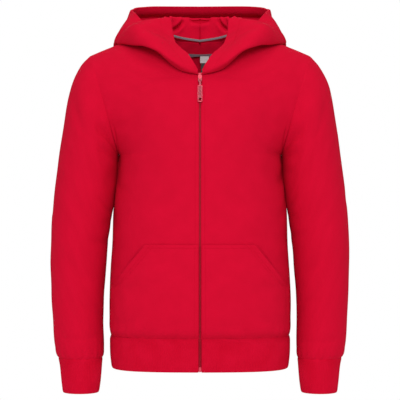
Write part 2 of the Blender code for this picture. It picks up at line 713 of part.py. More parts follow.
def add_label(name, sides, y, finish):
    """A thin upright label between two x and two z values."""
    left, right, low, high = sides
    x, z = np.meshgrid(np.linspace(left, right, 3), np.linspace(high, low, 3))
    grid = np.stack([x, np.full_like(x, y), z], axis=-1)
    wall(name, grid, grid + (0, LABEL, 0), finish)


def main():
    for obj in list(bpy.data.objects):
        bpy.data.objects.remove(obj)
    fleece = material("brushed_fleece", RED, 0.9)
    rib = material("rib_knit", RED, 0.85)
    lining = material("hood_lining_jersey", RED, 0.85)
    body_out = add_body(fleece)
    add_sleeves(fleece, rib, body_out)
    add_hem_band(rib)
    add_pockets(fleece)
    add_hood(fleece, lining)
    woven = material("woven_zip_tape", ZIP_RED, 0.8)
    metal = material("painted_die_cast_zinc", METAL_RED, 0.35, 0.6)
    add_zip(woven, material("nylon_coil", ZIP_RED, 0.4))
    add_pull(metal, add_slider(metal))
    add_zip_ends(metal)
    herringbone = material("herringbone_tape", GREY, 0.85)
    add_back_neck(herringbone, fleece, material("grey_satin_label", GREY, 0.6), material("dark_label", DARK, 0.6))


main()
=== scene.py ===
# %% [markdown]
# # A child's zip-through hooded sweatshirt
#
# The real one is cut from red cotton fleece: two fronts, a back, two sleeves, a lined hood in two halves, a
# pocket in two halves, and rib-knit bands at the cuffs and the hem. A nylon zip closes the front. It stands
# filled out, as if on an unseen child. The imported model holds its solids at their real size. This file gives
# them their cloth: every panel is worked out again as a smooth, finely stepped surface, creased, stitched and
# given a material.

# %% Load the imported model
import math

import bpy
import numpy as np
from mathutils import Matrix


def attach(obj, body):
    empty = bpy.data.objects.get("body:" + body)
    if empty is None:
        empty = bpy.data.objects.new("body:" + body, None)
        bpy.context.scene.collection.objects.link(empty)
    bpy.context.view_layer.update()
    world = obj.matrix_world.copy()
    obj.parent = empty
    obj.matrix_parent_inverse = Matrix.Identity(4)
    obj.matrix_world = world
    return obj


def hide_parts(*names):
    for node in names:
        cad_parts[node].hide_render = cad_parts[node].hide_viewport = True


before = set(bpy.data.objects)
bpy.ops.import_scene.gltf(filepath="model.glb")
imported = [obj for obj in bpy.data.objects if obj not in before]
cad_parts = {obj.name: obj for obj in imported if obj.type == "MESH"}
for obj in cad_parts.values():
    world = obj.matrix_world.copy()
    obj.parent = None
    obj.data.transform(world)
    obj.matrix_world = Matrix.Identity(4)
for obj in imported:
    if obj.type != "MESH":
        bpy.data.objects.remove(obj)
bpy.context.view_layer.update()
MM = 0.001

# %% [markdown]
# ## Three helpers for colours, nodes and materials
#
# Colours are picked as sRGB hex values, as a paint chart gives them, and Blender's shaders want linear light,
# so one function turns them. A shader is a tree of nodes. Writing each node by hand is long, so one more
# function adds a node, sets its own settings, and fills its inputs with numbers, colours or links. The third
# starts a material, and sets on its shader's own sockets whatever is the same all over the surface.


# %% Colours and nodes
def linear(hex_colour):
    """An sRGB hex value as linear RGBA: each channel over 255, then the sRGB curve undone."""
    channels = [int(hex_colour[i : i + 2], 16) / 255 for i in (0, 2, 4)]
    return (*[c / 12.92 if c <= 0.04045 else ((c + 0.055) / 1.055) ** 2.4 for c in channels], 1.0)


def add_node(tree, kind, inputs=None, **settings):
    """Adds a node. Settings are its own properties; inputs are values, or sockets of other nodes to link."""
    made = tree.nodes.new("ShaderNode" + kind)
    for key, value in settings.items():
        setattr(made, key, value)
    for key, value in (inputs or {}).items():
        if isinstance(value, bpy.types.NodeSocket):
            tree.links.new(value, made.inputs[key])
        else:
            made.inputs[key].default_value = value
    return made


def new_material(name, **values):
    """A material, its node tree, and its Principled shader, whose own sockets take the values given."""
    made = bpy.data.materials.new(name)
    made.use_nodes = True
    shader = made.node_tree.nodes["Principled BSDF"]
    for key, value in values.items():
        shader.inputs[key.replace("_", " ")].default_value = value
    return made, made.node_tree, shader


print("the fleece's red is", [round(c, 3) for c in linear("C6082C")])

# %% [markdown]
# ## Camera, floor and light
#
# The garment is seen from straight in front and from some way off, so that its sides look flat and wide, as
# they do through a long lens. A longer lens from further away flattens it more: 135 mm from 2.4 m keeps the
# far rim of the hood just above the near one. The light is a studio's. A wide soft box stands in front, and
# weaker ones above and behind, so that the sides fall off a little and the shadows under the folds stay soft.
# The surround is white to the camera, but lights the cloth less than it shows, or it would fill the folds and
# flatten them.

# %% Camera, floor and light
GARMENT_MIDDLE = (0, 0, -0.256)
CAMERA_DISTANCE = 2.4
LENS = 135.0
FLOOR_Z = -0.72
FLOOR_RADIUS = 1.0
FLOOR_SIDES = 64
FILL_LIGHT = 0.6
# Each box's place, its side in metres, and its watts.
SOFT_BOXES = {
    "front_box": ((0.0, -2.6, 0.9), 1.2, 44),
    "top_box": ((0.0, -0.9, 1.9), 1.0, 12),
    "back_box": ((0.0, 2.6, 1.0), 1.2, 16),
}


def aimed(data, name, place):
    """A new camera or light at place that looks at the garment's middle down its own -Z axis."""
    made = bpy.data.objects.new(name, data)
    made.location = place
    ahead = np.array(GARMENT_MIDDLE) - np.array(place)
    turn = math.atan2(-ahead[0], ahead[1])
    made.rotation_euler = (math.atan2(np.hypot(*ahead[:2]), -ahead[2]), 0, turn)
    bpy.context.scene.collection.objects.link(made)
    return made


lens = bpy.data.cameras.new("camera")
lens.lens = LENS
bpy.context.scene.camera = aimed(lens, "camera", (0, -CAMERA_DISTANCE, GARMENT_MIDDLE[2]))
for name, (place, side, watts) in SOFT_BOXES.items():
    box = bpy.data.lights.new(name, "AREA")
    box.size = side
    box.energy = watts
    aimed(box, name, place)
bpy.context.scene.view_settings.view_transform = "Standard"

world = bpy.data.worlds.new("studio_surround")
world.use_nodes = True
backdrop = world.node_tree.nodes["Background"]
backdrop.inputs["Color"].default_value = linear("FFFFFF")
ray = add_node(world.node_tree, "LightPath")
brightness = add_node(
    world.node_tree, "MapRange", {"Value": ray.outputs["Is Camera Ray"], "To Min": FILL_LIGHT}
)
world.node_tree.links.new(brightness.outputs["Result"], backdrop.inputs["Strength"])
bpy.context.scene.world = world

# Matt wall paint: nearly white, with no shine.
paint = new_material("pale_matt_floor_paint", Base_Color=linear("F7F5F4"), Roughness=0.9)[0]
floor_mesh = bpy.data.meshes.new("floor")
turn = np.linspace(0, 2 * math.pi, FLOOR_SIDES, endpoint=False)
edge = FLOOR_RADIUS * np.stack([np.cos(turn), np.sin(turn), 0 * turn], axis=-1) + (0, 0, FLOOR_Z)
floor_mesh.from_pydata(edge.tolist(), [], [list(range(FLOOR_SIDES))])
floor_mesh.materials.append(paint)
floor = bpy.data.objects.new("floor", floor_mesh)
bpy.context.scene.collection.objects.link(floor)
print("camera at", tuple(bpy.context.scene.camera.location), "floor at", FLOOR_Z)

# %% [markdown]
# ## Curves and grids
#
# A garment is mostly smooth curves through a few measured places. A cubic with given end tangents (a Hermite
# curve) joins two places, and a chain of them runs through a table's rows. Every panel is a grid of points:
# rows run down the cloth, columns run across it. The outward normal at a point is the direction across,
# crossed with the direction down. All of it is done on whole arrays, so a fine grid costs no more code than a
# coarse one.


# %% Curves and grids
STEP = 2.8


def hermite(first, last, leaving, arriving, u):
    """The cubic from first to last with those end tangents, at u between 0 and 1."""
    u = np.asarray(u, float)[..., None]
    return (
        (2 * u**3 - 3 * u**2 + 1) * first
        + (u**3 - 2 * u**2 + u) * leaving
        + (3 * u**2 - 2 * u**3) * last
        + (u**3 - u**2) * arriving
    )


def through(table, at):
    """A smooth curve through a table's rows, whose first column is the place, read at the places in at."""
    table = np.asarray(table, float)
    knots = table[:, 0]
    values = table[:, 1:]
    slopes = np.gradient(values, knots, axis=0)
    at = np.asarray(at, float)
    i = np.clip(np.searchsorted(knots, at, side="right") - 1, 0, len(knots) - 2)
    width = knots[i + 1] - knots[i]
    pull = width[..., None]
    u = (at - knots[i]) / width
    return hermite(values[i], values[i + 1], slopes[i] * pull, slopes[i + 1] * pull, u)


def unit(vectors):
    """Each vector over its own length."""
    return vectors / np.linalg.norm(vectors, axis=-1, keepdims=True)


def normals(grid, ring=False):
    """Unit normals of a grid: the slope across its columns, crossed with the slope down its rows."""
    down = np.gradient(grid, axis=0, edge_order=2)
    if ring:
        across = np.roll(grid, -1, axis=1) - np.roll(grid, 1, axis=1)
    else:
        across = np.gradient(grid, axis=1, edge_order=2)
    return unit(np.cross(across, down))


def lengths(grid):
    """How far each point lies from the first column and from the first row, measured along the cloth."""
    across = np.linalg.norm(np.diff(grid, axis=1), axis=-1)
    down = np.linalg.norm(np.diff(grid, axis=0), axis=-1)
    across = np.concatenate([np.zeros((len(grid), 1)), np.cumsum(across, axis=1)], axis=1)
    down = np.concatenate([np.zeros((1, grid.shape[1])), np.cumsum(down, axis=0)])
    return across, down


def eased(count, uniform=0.55):
    """Steps from 0 to 1, closer together at both ends: a straight run mixed with a half cosine wave."""
    t = np.linspace(0, 1, count)
    return uniform * t + (1 - uniform) * (1 - np.cos(math.pi * t)) / 2


def mirrored(points):
    """The same points on the other side of the garment: x turned round."""
    return points * (-1, 1, 1)


def on_centre(grid, column):
    """The grid with one column laid exactly on the garment's middle plane, x = 0."""
    grid[:, column, 0] = 0
    return grid


def both_sides(half):
    """A grid over both sides from the grid of the left half, whose first column is the centre."""
    return np.concatenate([mirrored(half)[:, :0:-1], half], axis=1)


def bell(distance, reach):
    """A bell curve of a distance: 1 at nothing, 0.37 at the reach, and hardly anything at twice the reach."""
    return np.exp(-((distance / reach) ** 2))


print("panels are stepped every", STEP, "mm")

# %% [markdown]
# ## The body's form
#
# The body hangs from the neck and the shoulders. Below the underarm its sections are level, squarish ovals.
# Above it each section starts at the zip or on the neck seam, and ends on the armhole. The tables hold the
# measures of the garment in millimetres, and one function turns two numbers into a point: place runs from the
# front hem over the shoulder to the back hem, and s from the centre out to the side. Working out every panel
# from the same function is what makes them meet at their seams.

# %% The body's measures
SEAM_GAP = 0.3
FLEECE = 1.8
HEM_SEAM_Z = -470.0
HEM_Z = -521.0
UNDERARM_Z = -184.0
ZIP_TOP_Z = -62.0
ZIP_EDGE = 2.3
FULLNESS = 1.75
ARMHOLE_MIDDLE = (153.0, 2.0, -105.0)
ARMHOLE_HALF_LEAN = 23.0
ARMHOLE_HALF_DEPTH = 57.0
ARMHOLE_HALF_HEIGHT = 79.0
ARMHOLE_CUT_IN = 3.0

# Height, centre front y, centre back y.
CENTRE_LINE = [
    (-521, -97.5, 93.5),
    (-500, -100.5, 96.5),
    (-478, -101.5, 97.5),
    (-470, -102.5, 98.0),
    (-462, -105.5, 101.0),
    (-440, -108.0, 103.0),
    (-390, -108.5, 104.0),
    (-330, -107.0, 101.0),
    (-262, -105.5, 98.0),
    (-184, -105.0, 99.0),
    (-150, -103.5, 101.5),
    (-120, -100.5, 102.0),
    (-90, -95.5, 99.0),
    (-62, -88.0, 92.0),
    (-30, -80.0, 80.0),
    (4, -70.0, 60.0),
]

# Height, x and y of the side seam, and how square the section is there (1.66 is round).
SIDE_LINE = [
    (-521, 139.5, -1.5, 2.3),
    (-500, 141.8, -1.5, 2.25),
    (-478, 142.2, -1.5, 2.2),
    (-470, 142.0, -1.5, 2.2),
    (-462, 143.8, -1.5, 2.2),
    (-440, 144.3, -1.0, 2.15),
    (-390, 144.0, 0.0, 2.05),
    (-330, 140.3, 0.5, 1.9),
    (-262, 137.7, 1.0, 1.8),
    (-236, 134.5, 1.2, FULLNESS),
    (-216, 132.5, 1.5, FULLNESS),
    (-202, 131.8, 1.7, FULLNESS),
    (-193, 131.1, 1.8, FULLNESS),
    (-184, 130.0, 2.0, FULLNESS),
]

# Place from the zip (0) to the centre back (1), then x, y, z.
NECK_SEAM = [
    (0.0, ZIP_EDGE, -88.0, ZIP_TOP_Z),
    (0.1, 17, -86.0, -58),
    (0.2, 34, -79.0, -49),
    (0.3, 52, -65.0, -31),
    (0.4, 66, -41.0, -6),
    (0.5, 72, -10.0, 13),
    (0.6, 70, 15.0, 16),
    (0.7, 59, 35.0, 14),
    (0.85, 31, 53.0, 8),
    (1.0, 0, 60.0, 4),
]

# Place, then the tangent that leaves the centre edge and the one that arrives at the side edge.
SECTIONS = [
    (1.0, FULLNESS * 128, 0, 0, 0, FULLNESS * 107, 0),
    (1.5, 205, 0, 0, 60, 95, -20),
    (2.0, 165, 0, -20, 110, 50, -50),
    (2.5, 112, -8, -22, 105, 26, -45),
    (3.0, 104, 4, -36, 104, 6, -48),
    (3.5, 120, 20, -22, 105, -20, -60),
    (4.0, 165, 4, -8, 95, -55, -60),
    (4.5, 205, 0, 0, 55, -95, -18),
    (5.0, FULLNESS * 130, 0, 0, 0, -FULLNESS * 97, 0),
]
print("the body is", ZIP_TOP_Z - HEM_Z, "mm long at the zip")


# %% The body's form
def armhole(angle):
    """The armhole: a leaning ellipse, cut in a little at both sides. 0 degrees is its top, 90 its front."""
    turn = np.radians(angle)
    x, y, z = ARMHOLE_MIDDLE
    lean = ARMHOLE_HALF_LEAN * np.cos(turn) - ARMHOLE_CUT_IN * np.sin(turn) ** 2
    depth = ARMHOLE_HALF_DEPTH * np.sin(turn)
    height = ARMHOLE_HALF_HEIGHT * np.cos(turn)
    return np.stack([x + lean, y - depth, z + height], axis=-1)


def body(place, s):
    """Points of the left half body: a Hermite curve from the centre edge (s 0) to the side edge (s 1)."""
    place, s = np.broadcast_arrays(np.asarray(place, float), np.asarray(s, float))
    front = place < 3
    rise = np.where(front, place, 6 - place)
    level = rise <= 1
    neck_z = np.where(front, ZIP_TOP_Z, NECK_SEAM[-1][3])
    z = np.where(
        level,
        HEM_SEAM_Z + rise * (UNDERARM_Z - HEM_SEAM_Z),
        UNDERARM_Z + (np.minimum(rise, 2) - 1) * (neck_z - UNDERARM_Z),
    )
    centre_y = through(CENTRE_LINE, z)
    centre_y = np.where(front, centre_y[..., 0], centre_y[..., 1])
    centre = np.stack([np.where(front, ZIP_EDGE, 0), centre_y, z], axis=-1)
    neck = through(NECK_SEAM, np.clip((place - 2) / 2, 0, 1))
    first = np.where((rise <= 2)[..., None], centre, neck)
    side = through(SIDE_LINE, np.minimum(z, UNDERARM_Z))
    fullness = side[..., 2]
    side = np.concatenate([side[..., :2], z[..., None]], axis=-1)
    last = np.where(level[..., None], side, armhole(90 * (3 - place)))
    tangents = through(SECTIONS, np.clip(place, 1, 5))
    nothing = np.zeros_like(z)
    level_leaving = np.stack([fullness * (side[..., 0] - centre[..., 0]), nothing, nothing], axis=-1)
    level_arriving = np.stack([nothing, fullness * (side[..., 1] - centre_y), nothing], axis=-1)
    leaving = np.where(level[..., None], level_leaving, tangents[..., :3])
    arriving = np.where(level[..., None], level_arriving, tangents[..., 3:])
    return hermite(first, last, leaving, arriving, s)


def body_normals(place, s, step=0.004):
    """Outward normals of the body's surface: its slope along s crossed with its slope along place."""
    across = body(place, s + step) - body(place, s - step)
    down = body(place + step, s) - body(place - step, s)
    return unit(np.cross(across, down))


chest = body(0.95, np.linspace(0, 1, 40))
print("half the chest's front measures", round(float(lengths(chest[None])[0][0, -1])), "mm round")

# %% [markdown]
# ## Creases and seams
#
# Filled-out fleece is smooth, but not plain: soft troughs fan out from the underarms, the sleeves fold a
# little at the elbow, and the cloth puckers where it is sewn to a rib band. A simulation makes folds too, but
# not where you want them, so each fold here is a row in a table: where it starts and ends on the flat cloth,
# how far it bows, how wide and how deep it is. A trough is a bell-shaped dip along that line, with a low
# ridge on both sides where the cloth it takes is pushed up, and it fades towards its ends. A seam is a narrow
# dip along the panel's edge.


# %% Creases and seams
def creases(table, u, v, scale=(1, 1), girth=None):
    """The height over the flat cloth at u, v. A row holds u0, v0, u1, v1, bow, width, depth: its line runs
    from (u0, v0) to (u1, v1), each times the scale, and bows sideways. Off the line by d, the height is
    -depth * (1 - 0.6 d2) * exp(-d2 / 2), with d2 the square of d over width, and it fades towards both ends
    as the square root of a half sine wave. On a tube, u wraps round after the girth."""
    height = np.zeros(np.broadcast(u, v).shape)
    for u0, v0, u1, v1, bow, width, depth in table:
        start = np.array([u0, v0]) * scale
        run = np.array([u1, v1]) * scale - start
        length = np.hypot(*run)
        along = run / length
        du = u - start[0]
        dv = v - start[1]
        if girth is not None:
            du = du - girth * np.round((du - run[0] / 2) / girth)
        t = (du * along[0] + dv * along[1]) / length
        swell = np.sin(math.pi * np.clip(t, 0, 1))
        off = dv * along[0] - du * along[1] - bow * swell
        near = (off / width) ** 2
        height -= depth * np.sqrt(swell) * (1 - 0.6 * near) * np.exp(-near / 2)
    return height


def ripple(u, v, seed, height, longest=110.0, waves=14):
    """Soft unevenness: the sum of plane waves in random directions, 40 % of the longest wave or more each."""
    draw = np.random.default_rng(seed)
    turn = draw.uniform(0, math.pi, waves)
    sizes = longest * draw.uniform(0.4, 1.0, waves)
    start = draw.uniform(0, 2 * math.pi, waves)
    total = np.zeros(np.broadcast(u, v).shape)
    for angle, size, phase in zip(turn, sizes, start):
        total += np.sin(2 * math.pi * (u * math.cos(angle) + v * math.sin(angle)) / size + phase)
    return height * total / math.sqrt(waves)


def puckers(u, from_seam, seed, height, reach=14.0, pitch=13.0):
    """Small gathers at a seam: uneven waves along it that die away over reach."""
    draw = np.random.default_rng(seed)
    total = np.zeros(np.broadcast(u, from_seam).shape)
    for size, phase in zip(pitch * draw.uniform(0.7, 1.9, 5), draw.uniform(0, 2 * math.pi, 5)):
        total += np.sin(2 * math.pi * u / size + phase)
    return height * total / 2 * np.exp(-from_seam / reach) * held(from_seam, 2.5)


def groove(distance, depth, width=1.7):
    """The dip at a seam or under a row of stitches: the depth times a bell curve of the distance from it."""
    return -depth * bell(distance, width)


def held(from_edge, reach=9.0):
    """0 on a seam and 1 away from it, so that a fold leaves the seam where it is."""
    return 1 - bell(from_edge, reach)


dip = creases([(0, 0, 60, 0, 0, 8, 2)], 30.0, 0.0)
print("a crease 8 mm wide and 2 mm deep dips", -round(float(dip), 2), "mm")

# %% [markdown]
# ## From a grid to a piece of cloth
#
# A real panel is a wall: a face, a back, and cut edges. The piece is made the same way: the outer grid, the
# inner grid one cloth's thickness under it, and narrow faces between them all round. The order of each face's
# corners decides which way it looks, so the corners are listed to turn the right way from the start, and
# turned round for a mirrored piece. The piece also gets a UV map in metres along the cloth, because a knit
# pattern has to follow the cut of the panel and not the space round it.


# %% From a grid to a piece of cloth
SHARP_ANGLE = 55


def shell_faces(rows, columns, ring):
    """The corners of a wall's faces: the outer grid, the inner grid turned over, and the rims between."""
    count = rows * columns
    steps = columns if ring else columns - 1
    index = np.arange(count).reshape(rows, columns)
    right = np.roll(index, -1, axis=1)
    outer = np.stack([index[:-1], right[:-1], right[1:], index[1:]], axis=-1)[:, :steps].reshape(-1, 4)
    inner = outer[:, ::-1] + count
    edges = [
        np.stack([right[0], index[0]], axis=-1)[:steps],
        np.stack([index[-1], right[-1]], axis=-1)[:steps],
    ]
    if not ring:
        edges.append(np.stack([index[:-1, 0], index[1:, 0]], axis=-1))
        edges.append(np.stack([index[1:, -1], index[:-1, -1]], axis=-1))
    edges = np.concatenate(edges)
    rims = np.concatenate([edges, edges[:, ::-1] + count], axis=1)
    return np.concatenate([outer, inner, rims])


def mesh_object(name, points, faces, finish, uv=None):
    """A mesh object from arrays of points (in metres) and quad corners, with a UV pair for each point."""
    mesh = bpy.data.meshes.new(name)
    mesh.vertices.add(len(points))
    mesh.vertices.foreach_set("co", points.astype(np.float32).ravel())
    mesh.loops.add(faces.size)
    mesh.loops.foreach_set("vertex_index", faces.astype(np.int32).ravel())
    mesh.polygons.add(len(faces))
    mesh.polygons.foreach_set("loop_start", np.arange(0, faces.size, faces.shape[1], dtype=np.int32))
    mesh.update(calc_edges=True)
    if uv is not None:
        layer = mesh.uv_layers.new(name="cloth_metres")
        layer.uv.foreach_set("vector", uv[faces.ravel()].astype(np.float32).ravel())
    mesh.validate()
    mesh.shade_smooth()
    mesh.set_sharp_from_angle(angle=math.radians(SHARP_ANGLE))
    mesh.materials.append(finish)
    obj = bpy.data.objects.new(name, mesh)
    bpy.context.scene.collection.objects.link(obj)
    return obj


def wall(name, outer, inner, finish, ring=False, mirror=False):
    """A closed wall between two grids of the same size, in millimetres, with UVs along the outer one."""
    rows, columns = outer.shape[:2]
    faces = shell_faces(rows, columns, ring)
    points = np.concatenate([outer.reshape(-1, 3), inner.reshape(-1, 3)]) * MM
    across, down = lengths(outer)
    uv = np.stack([across, -down], axis=-1).reshape(-1, 2) * MM
    if mirror:
        points = mirrored(points)
        faces = faces[:, ::-1]
    return mesh_object(name, points, faces, finish, np.concatenate([uv, uv]))


def pulled_in(grid, rows=(True, True), columns=(True, True), by=0.02):
    """The grid with the chosen first and last rows and columns moved in along the cloth, for the seam gap."""
    grid = grid.copy()
    if rows[0]:
        grid[0] += by * unit(grid[1] - grid[0])
    if rows[1]:
        grid[-1] += by * unit(grid[-2] - grid[-1])
    if columns[0]:
        grid[:, 0] += by * unit(grid[:, 1] - grid[:, 0])
    if columns[1]:
        grid[:, -1] += by * unit(grid[:, -2] - grid[:, -1])
    return grid


def tucked(grid, out, up=2.5, under=2.2):
    """The grid with one more row before its first: the seam allowance, turned in under the next panel."""
    allowance = grid[0] + up * unit(grid[0] - grid[1]) - under * out[0]
    return np.concatenate([allowance[None], grid]), np.concatenate([out[:1], out])


print("a wall of 3 by 4 points has", len(shell_faces(3, 4, False)), "faces")

# %% [markdown]
# ## Sewn pieces and the solids they hide
#
# A panel is cut flat and then sewn. The packed solid of the same piece is only a stand-in for its place: the
# piece hides it.


def sewn_piece(name, kind, side, outer, inner, finish, ring=False):
    """A wall that rides on the garment and hides the plain solid of its kind and side, "" for a single one."""
    piece = wall(name, outer, inner, finish, ring, side == "right")
    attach(piece, "garment")
    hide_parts(f"{kind}_{side}" if side else kind)


# %% [markdown]
# ## Knitted fleece, rib and tape
#
# The garment's cloth is cotton fleece: a fine jersey face outside, brushed to a nap inside. Up close the face
# is rows of V-shaped stitches; from two metres it is a matt, even red with a faint mottle, because the yarn
# is not dyed perfectly evenly. An image of knitting would do, but a formula on the UV map has no edges and no
# limit in detail. A triangle wave across the cloth bends the wave that runs up it, and the result is a V. The
# real stitch is 0.7 mm wide. It is drawn 1.5 mm wide here, because a finer one vanishes in a render of the
# whole garment.


# %% Patterns on cloth
MOTTLE = 26.0


def cloth_place(tree):
    """The cloth's own u and v, in metres, as two sockets."""
    uv = add_node(tree, "TexCoord").outputs["UV"]
    parts = add_node(tree, "SeparateXYZ", {"Vector": uv})
    return uv, parts.outputs["X"], parts.outputs["Y"]


def maths(tree, operation, first, second=0.0, third=0.0):
    """One Math node's result."""
    made = add_node(tree, "Math", {0: first, 1: second, 2: third}, operation=operation)
    return made.outputs[0]


def wave(tree, along, pitch):
    """A sine wave of that pitch along a coordinate, from -1 to 1."""
    return maths(tree, "SINE", maths(tree, "MULTIPLY", along, 2 * math.pi / pitch))


def stitches_height(tree, u, v, wale, course):
    """Jersey stitches, as a height: a sine wave up the cloth that a triangle wave across it bends into Vs."""
    bend = maths(tree, "PINGPONG", u, wale / 2)
    climb = maths(tree, "MULTIPLY_ADD", bend, 1.6 / wale, maths(tree, "DIVIDE", v, course))
    return maths(tree, "MULTIPLY_ADD", wave(tree, climb, 1), 0.5, maths(tree, "MULTIPLY", bend, 1.0 / wale))


def noise(tree, place, size_mm, detail=2.0):
    """Noise whose blobs are about size_mm across, on coordinates in metres, as a socket from 0 to 1."""
    made = add_node(tree, "TexNoise", {"Vector": place, "Scale": 1000 / size_mm, "Detail": detail})
    return made.outputs["Factor" if "Factor" in made.outputs else "Fac"]


def bump(tree, shader, height, distance_mm, strength):
    """A bump on the shader from a height socket; distance is what a height of 1 stands for."""
    made = add_node(tree, "Bump", {"Height": height, "Distance": distance_mm * MM, "Strength": strength})
    tree.links.new(made.outputs["Normal"], shader.inputs["Normal"])


def two_tones(tree, shader, factor, first, second):
    """The shader's colour: from the first tone where the factor is 0 to the second where it is 1."""
    tone = add_node(tree, "Mix", {0: factor, "A": linear(first), "B": linear(second)}, data_type="RGBA")
    tree.links.new(tone.outputs["Result"], shader.inputs["Base Color"])


def mottled(tree, shader, place, light, dark, size_mm):
    """Colour that wanders between two close tones in blobs, with a finer fleck over it."""
    fleck = maths(tree, "MULTIPLY", noise(tree, place, 1.3, 3.0), 0.45)
    factor = maths(tree, "MULTIPLY_ADD", noise(tree, place, size_mm), 0.55, fleck)
    spread = add_node(tree, "MapRange", {"Value": factor, "From Min": 0.35, "From Max": 0.65})
    two_tones(tree, shader, spread.outputs["Result"], light, dark)


print("a mottle", MOTTLE, "mm wide is noise at scale", round(1000 / MOTTLE, 1))


# %% Knitted fleece and rib
def knit(name, light, dark, wale_mm, course_mm, nap, strength):
    """Cotton knit: V stitches under a nap of fibre ends, a mottled dye and a faint sheen where it turns."""
    made, tree, shader = new_material(
        name, Roughness=0.92, Specular_IOR_Level=0.05, Sheen_Weight=0.04, Sheen_Tint=linear("E03048")
    )
    place, u, v = cloth_place(tree)
    mottled(tree, shader, place, light, dark, MOTTLE)
    loops = stitches_height(tree, u, v, wale_mm * MM, course_mm * MM)
    bump(tree, shader, maths(tree, "MULTIPLY_ADD", noise(tree, place, 0.9, 3.0), nap, loops), 0.25, strength)
    return made


# Cotton fleece, jersey face: matt and mottled, its stitches just visible.
FLEECE_FACE = knit("cotton_fleece_jersey_face", "C6082C", "BF0729", 1.5, 1.2, 0.8, 0.45)
# The same cloth's brushed side, on the hood's lining and the facing: a deep nap that hides most stitches. Its
# red is lighter than the face's: painted light, for the light inside the hood.
BRUSHED_PAINTED_LIGHTER = knit("brushed_fleece_lining_painted_lighter", "D2082D", "C0062A", 2.4, 1.8, 2.2, 0.4)
# Cotton and elastane rib: the wales stand in real ridges, so the material only adds the loops on them.
RIB_KNIT = knit("cotton_elastane_rib", "C6082C", "BB0424", 1.3, 1.1, 0.6, 0.4)
print("knits:", [m.name for m in (FLEECE_FACE, BRUSHED_PAINTED_LIGHTER, RIB_KNIT)])

# %% Tape, labels and thread
TWILL_TURN = 2.4
TWILL_PITCH = 1.1


def herringbone_tape():
    """Woven cotton twill tape: slanting ribs that turn back in zigzags, in two greys, matt and rough."""
    made, tree, shader = new_material("herringbone_twill_tape", Roughness=0.85, Specular_IOR_Level=0.25)
    place, u, v = cloth_place(tree)
    slant = maths(tree, "ADD", v, maths(tree, "PINGPONG", u, TWILL_TURN * MM))
    twill = wave(tree, slant, TWILL_PITCH * MM)
    two_tones(tree, shader, maths(tree, "MULTIPLY_ADD", twill, 0.5, 0.5), "625058", "92808A")
    bump(tree, shader, maths(tree, "ADD", twill, noise(tree, place, 0.8)), 0.15, 0.5)
    return made


def woven(name, light, dark, thread_mm, roughness, strength):
    """Plain weave: the product of two sine waves stands for threads that pass over and under each other."""
    made, tree, shader = new_material(name, Roughness=roughness, Specular_IOR_Level=0.3)
    place, u, v = cloth_place(tree)
    warp, weft = (wave(tree, along, 2 * thread_mm * MM) for along in (u, v))
    mottled(tree, shader, place, light, dark, 9.0)
    bump(tree, shader, maths(tree, "MULTIPLY", warp, weft), 0.12, strength)
    return made


HERRINGBONE = herringbone_tape()
# Polyester zip tape: a dense weave, a little shinier than cotton, dyed to match.
ZIP_TAPE = woven("woven_polyester_zip_tape", "B80A28", "A60821", 0.5, 0.7, 0.5)
# Satin labels: fine threads, smooth enough to catch a soft light. Both are left blank.
PALE_SATIN = woven("pale_grey_satin_label", "BDB3B4", "AFA5A7", 0.35, 0.45, 0.25)
DARK_SATIN = woven("black_satin_label", "241A1C", "1B1315", 0.35, 0.45, 0.25)
# Spun polyester thread, a shade deeper than the cloth: matt, with the fine unevenness of twisted fibres.
THREAD, thread_tree, thread_shader = new_material(
    "spun_polyester_thread", Base_Color=linear("B80424"), Roughness=0.8, Specular_IOR_Level=0.05
)
fibres = noise(thread_tree, add_node(thread_tree, "TexCoord").outputs["Object"], 0.4)
bump(thread_tree, thread_shader, fibres, 0.05, 0.6)
print("wovens:", [m.name for m in (HERRINGBONE, ZIP_TAPE, PALE_SATIN, DARK_SATIN)])

# %% [markdown]
# ## The two fronts
#
# Each front runs from its folded edge at the zip to the side seam, and from the rib band up to the shoulder.
# Cloth could be thrown over a dummy and simulated, but the garment's shape is already known, so the front is
# the body's own surface, raised and dipped by its creases. The two sides have their own tables: a garment
# whose left and right folds match looks printed.

# %% The two fronts
# u0, v0, u1, v1 (mm from the zip, height), bow, width, depth
FRONT_CREASES = {
    "left": [
        (196, -150, 150, -235, 10, 15, 2.2),
        (200, -172, 128, -128, -7, 9, 1.5),
        (196, -192, 112, -176, 5, 8, 1.3),
        (192, -206, 118, -232, 6, 9, 1.1),
        (188, -232, 132, -288, 8, 10, 1.0),
        (186, -318, 104, -306, 5, 11, 0.8),
        (188, -362, 128, -350, -4, 9, 0.7),
        (112, -70, 96, -168, 9, 16, 0.9),
        (40, -300, 62, -222, -6, 18, 0.5),
        (150, -452, 84, -440, 4, 7, 0.8),
        (60, -455, 20, -448, -2, 6, 0.5),
    ],
    "right": [
        (196, -146, 152, -226, 8, 16, 2.4),
        (200, -168, 118, -136, -5, 8, 1.3),
        (196, -186, 120, -190, 6, 9, 1.5),
        (192, -212, 108, -248, 5, 8, 0.9),
        (190, -244, 140, -306, 9, 11, 1.1),
        (186, -334, 112, -322, 5, 10, 0.8),
        (186, -376, 136, -358, -5, 8, 0.7),
        (106, -78, 104, -160, 8, 15, 0.8),
        (46, -280, 56, -206, -7, 17, 0.5),
        (162, -449, 100, -443, 3, 7, 0.9),
        (48, -452, 14, -446, -2, 6, 0.5),
    ],
}
EDGE_STITCH = 6.0
POCKET_TOP_Z = -325.0
POCKET_OPENING_Z = -392.0
POCKET_TOP_REACH = 0.375
POCKET_SIDE_REACH = 0.78
POCKET_EDGE_CURVE = 0.6
MOUTH_HOLLOW = 5.0
PIT_FOLD = 3.0
PIT_FOLD_Z = -160.0
PIT_FOLD_IN = 4.5
CLOSED_BELOW_Z = -88.0
EDGE_LEANS_IN = 0.8
STITCH_ROW = 0.9
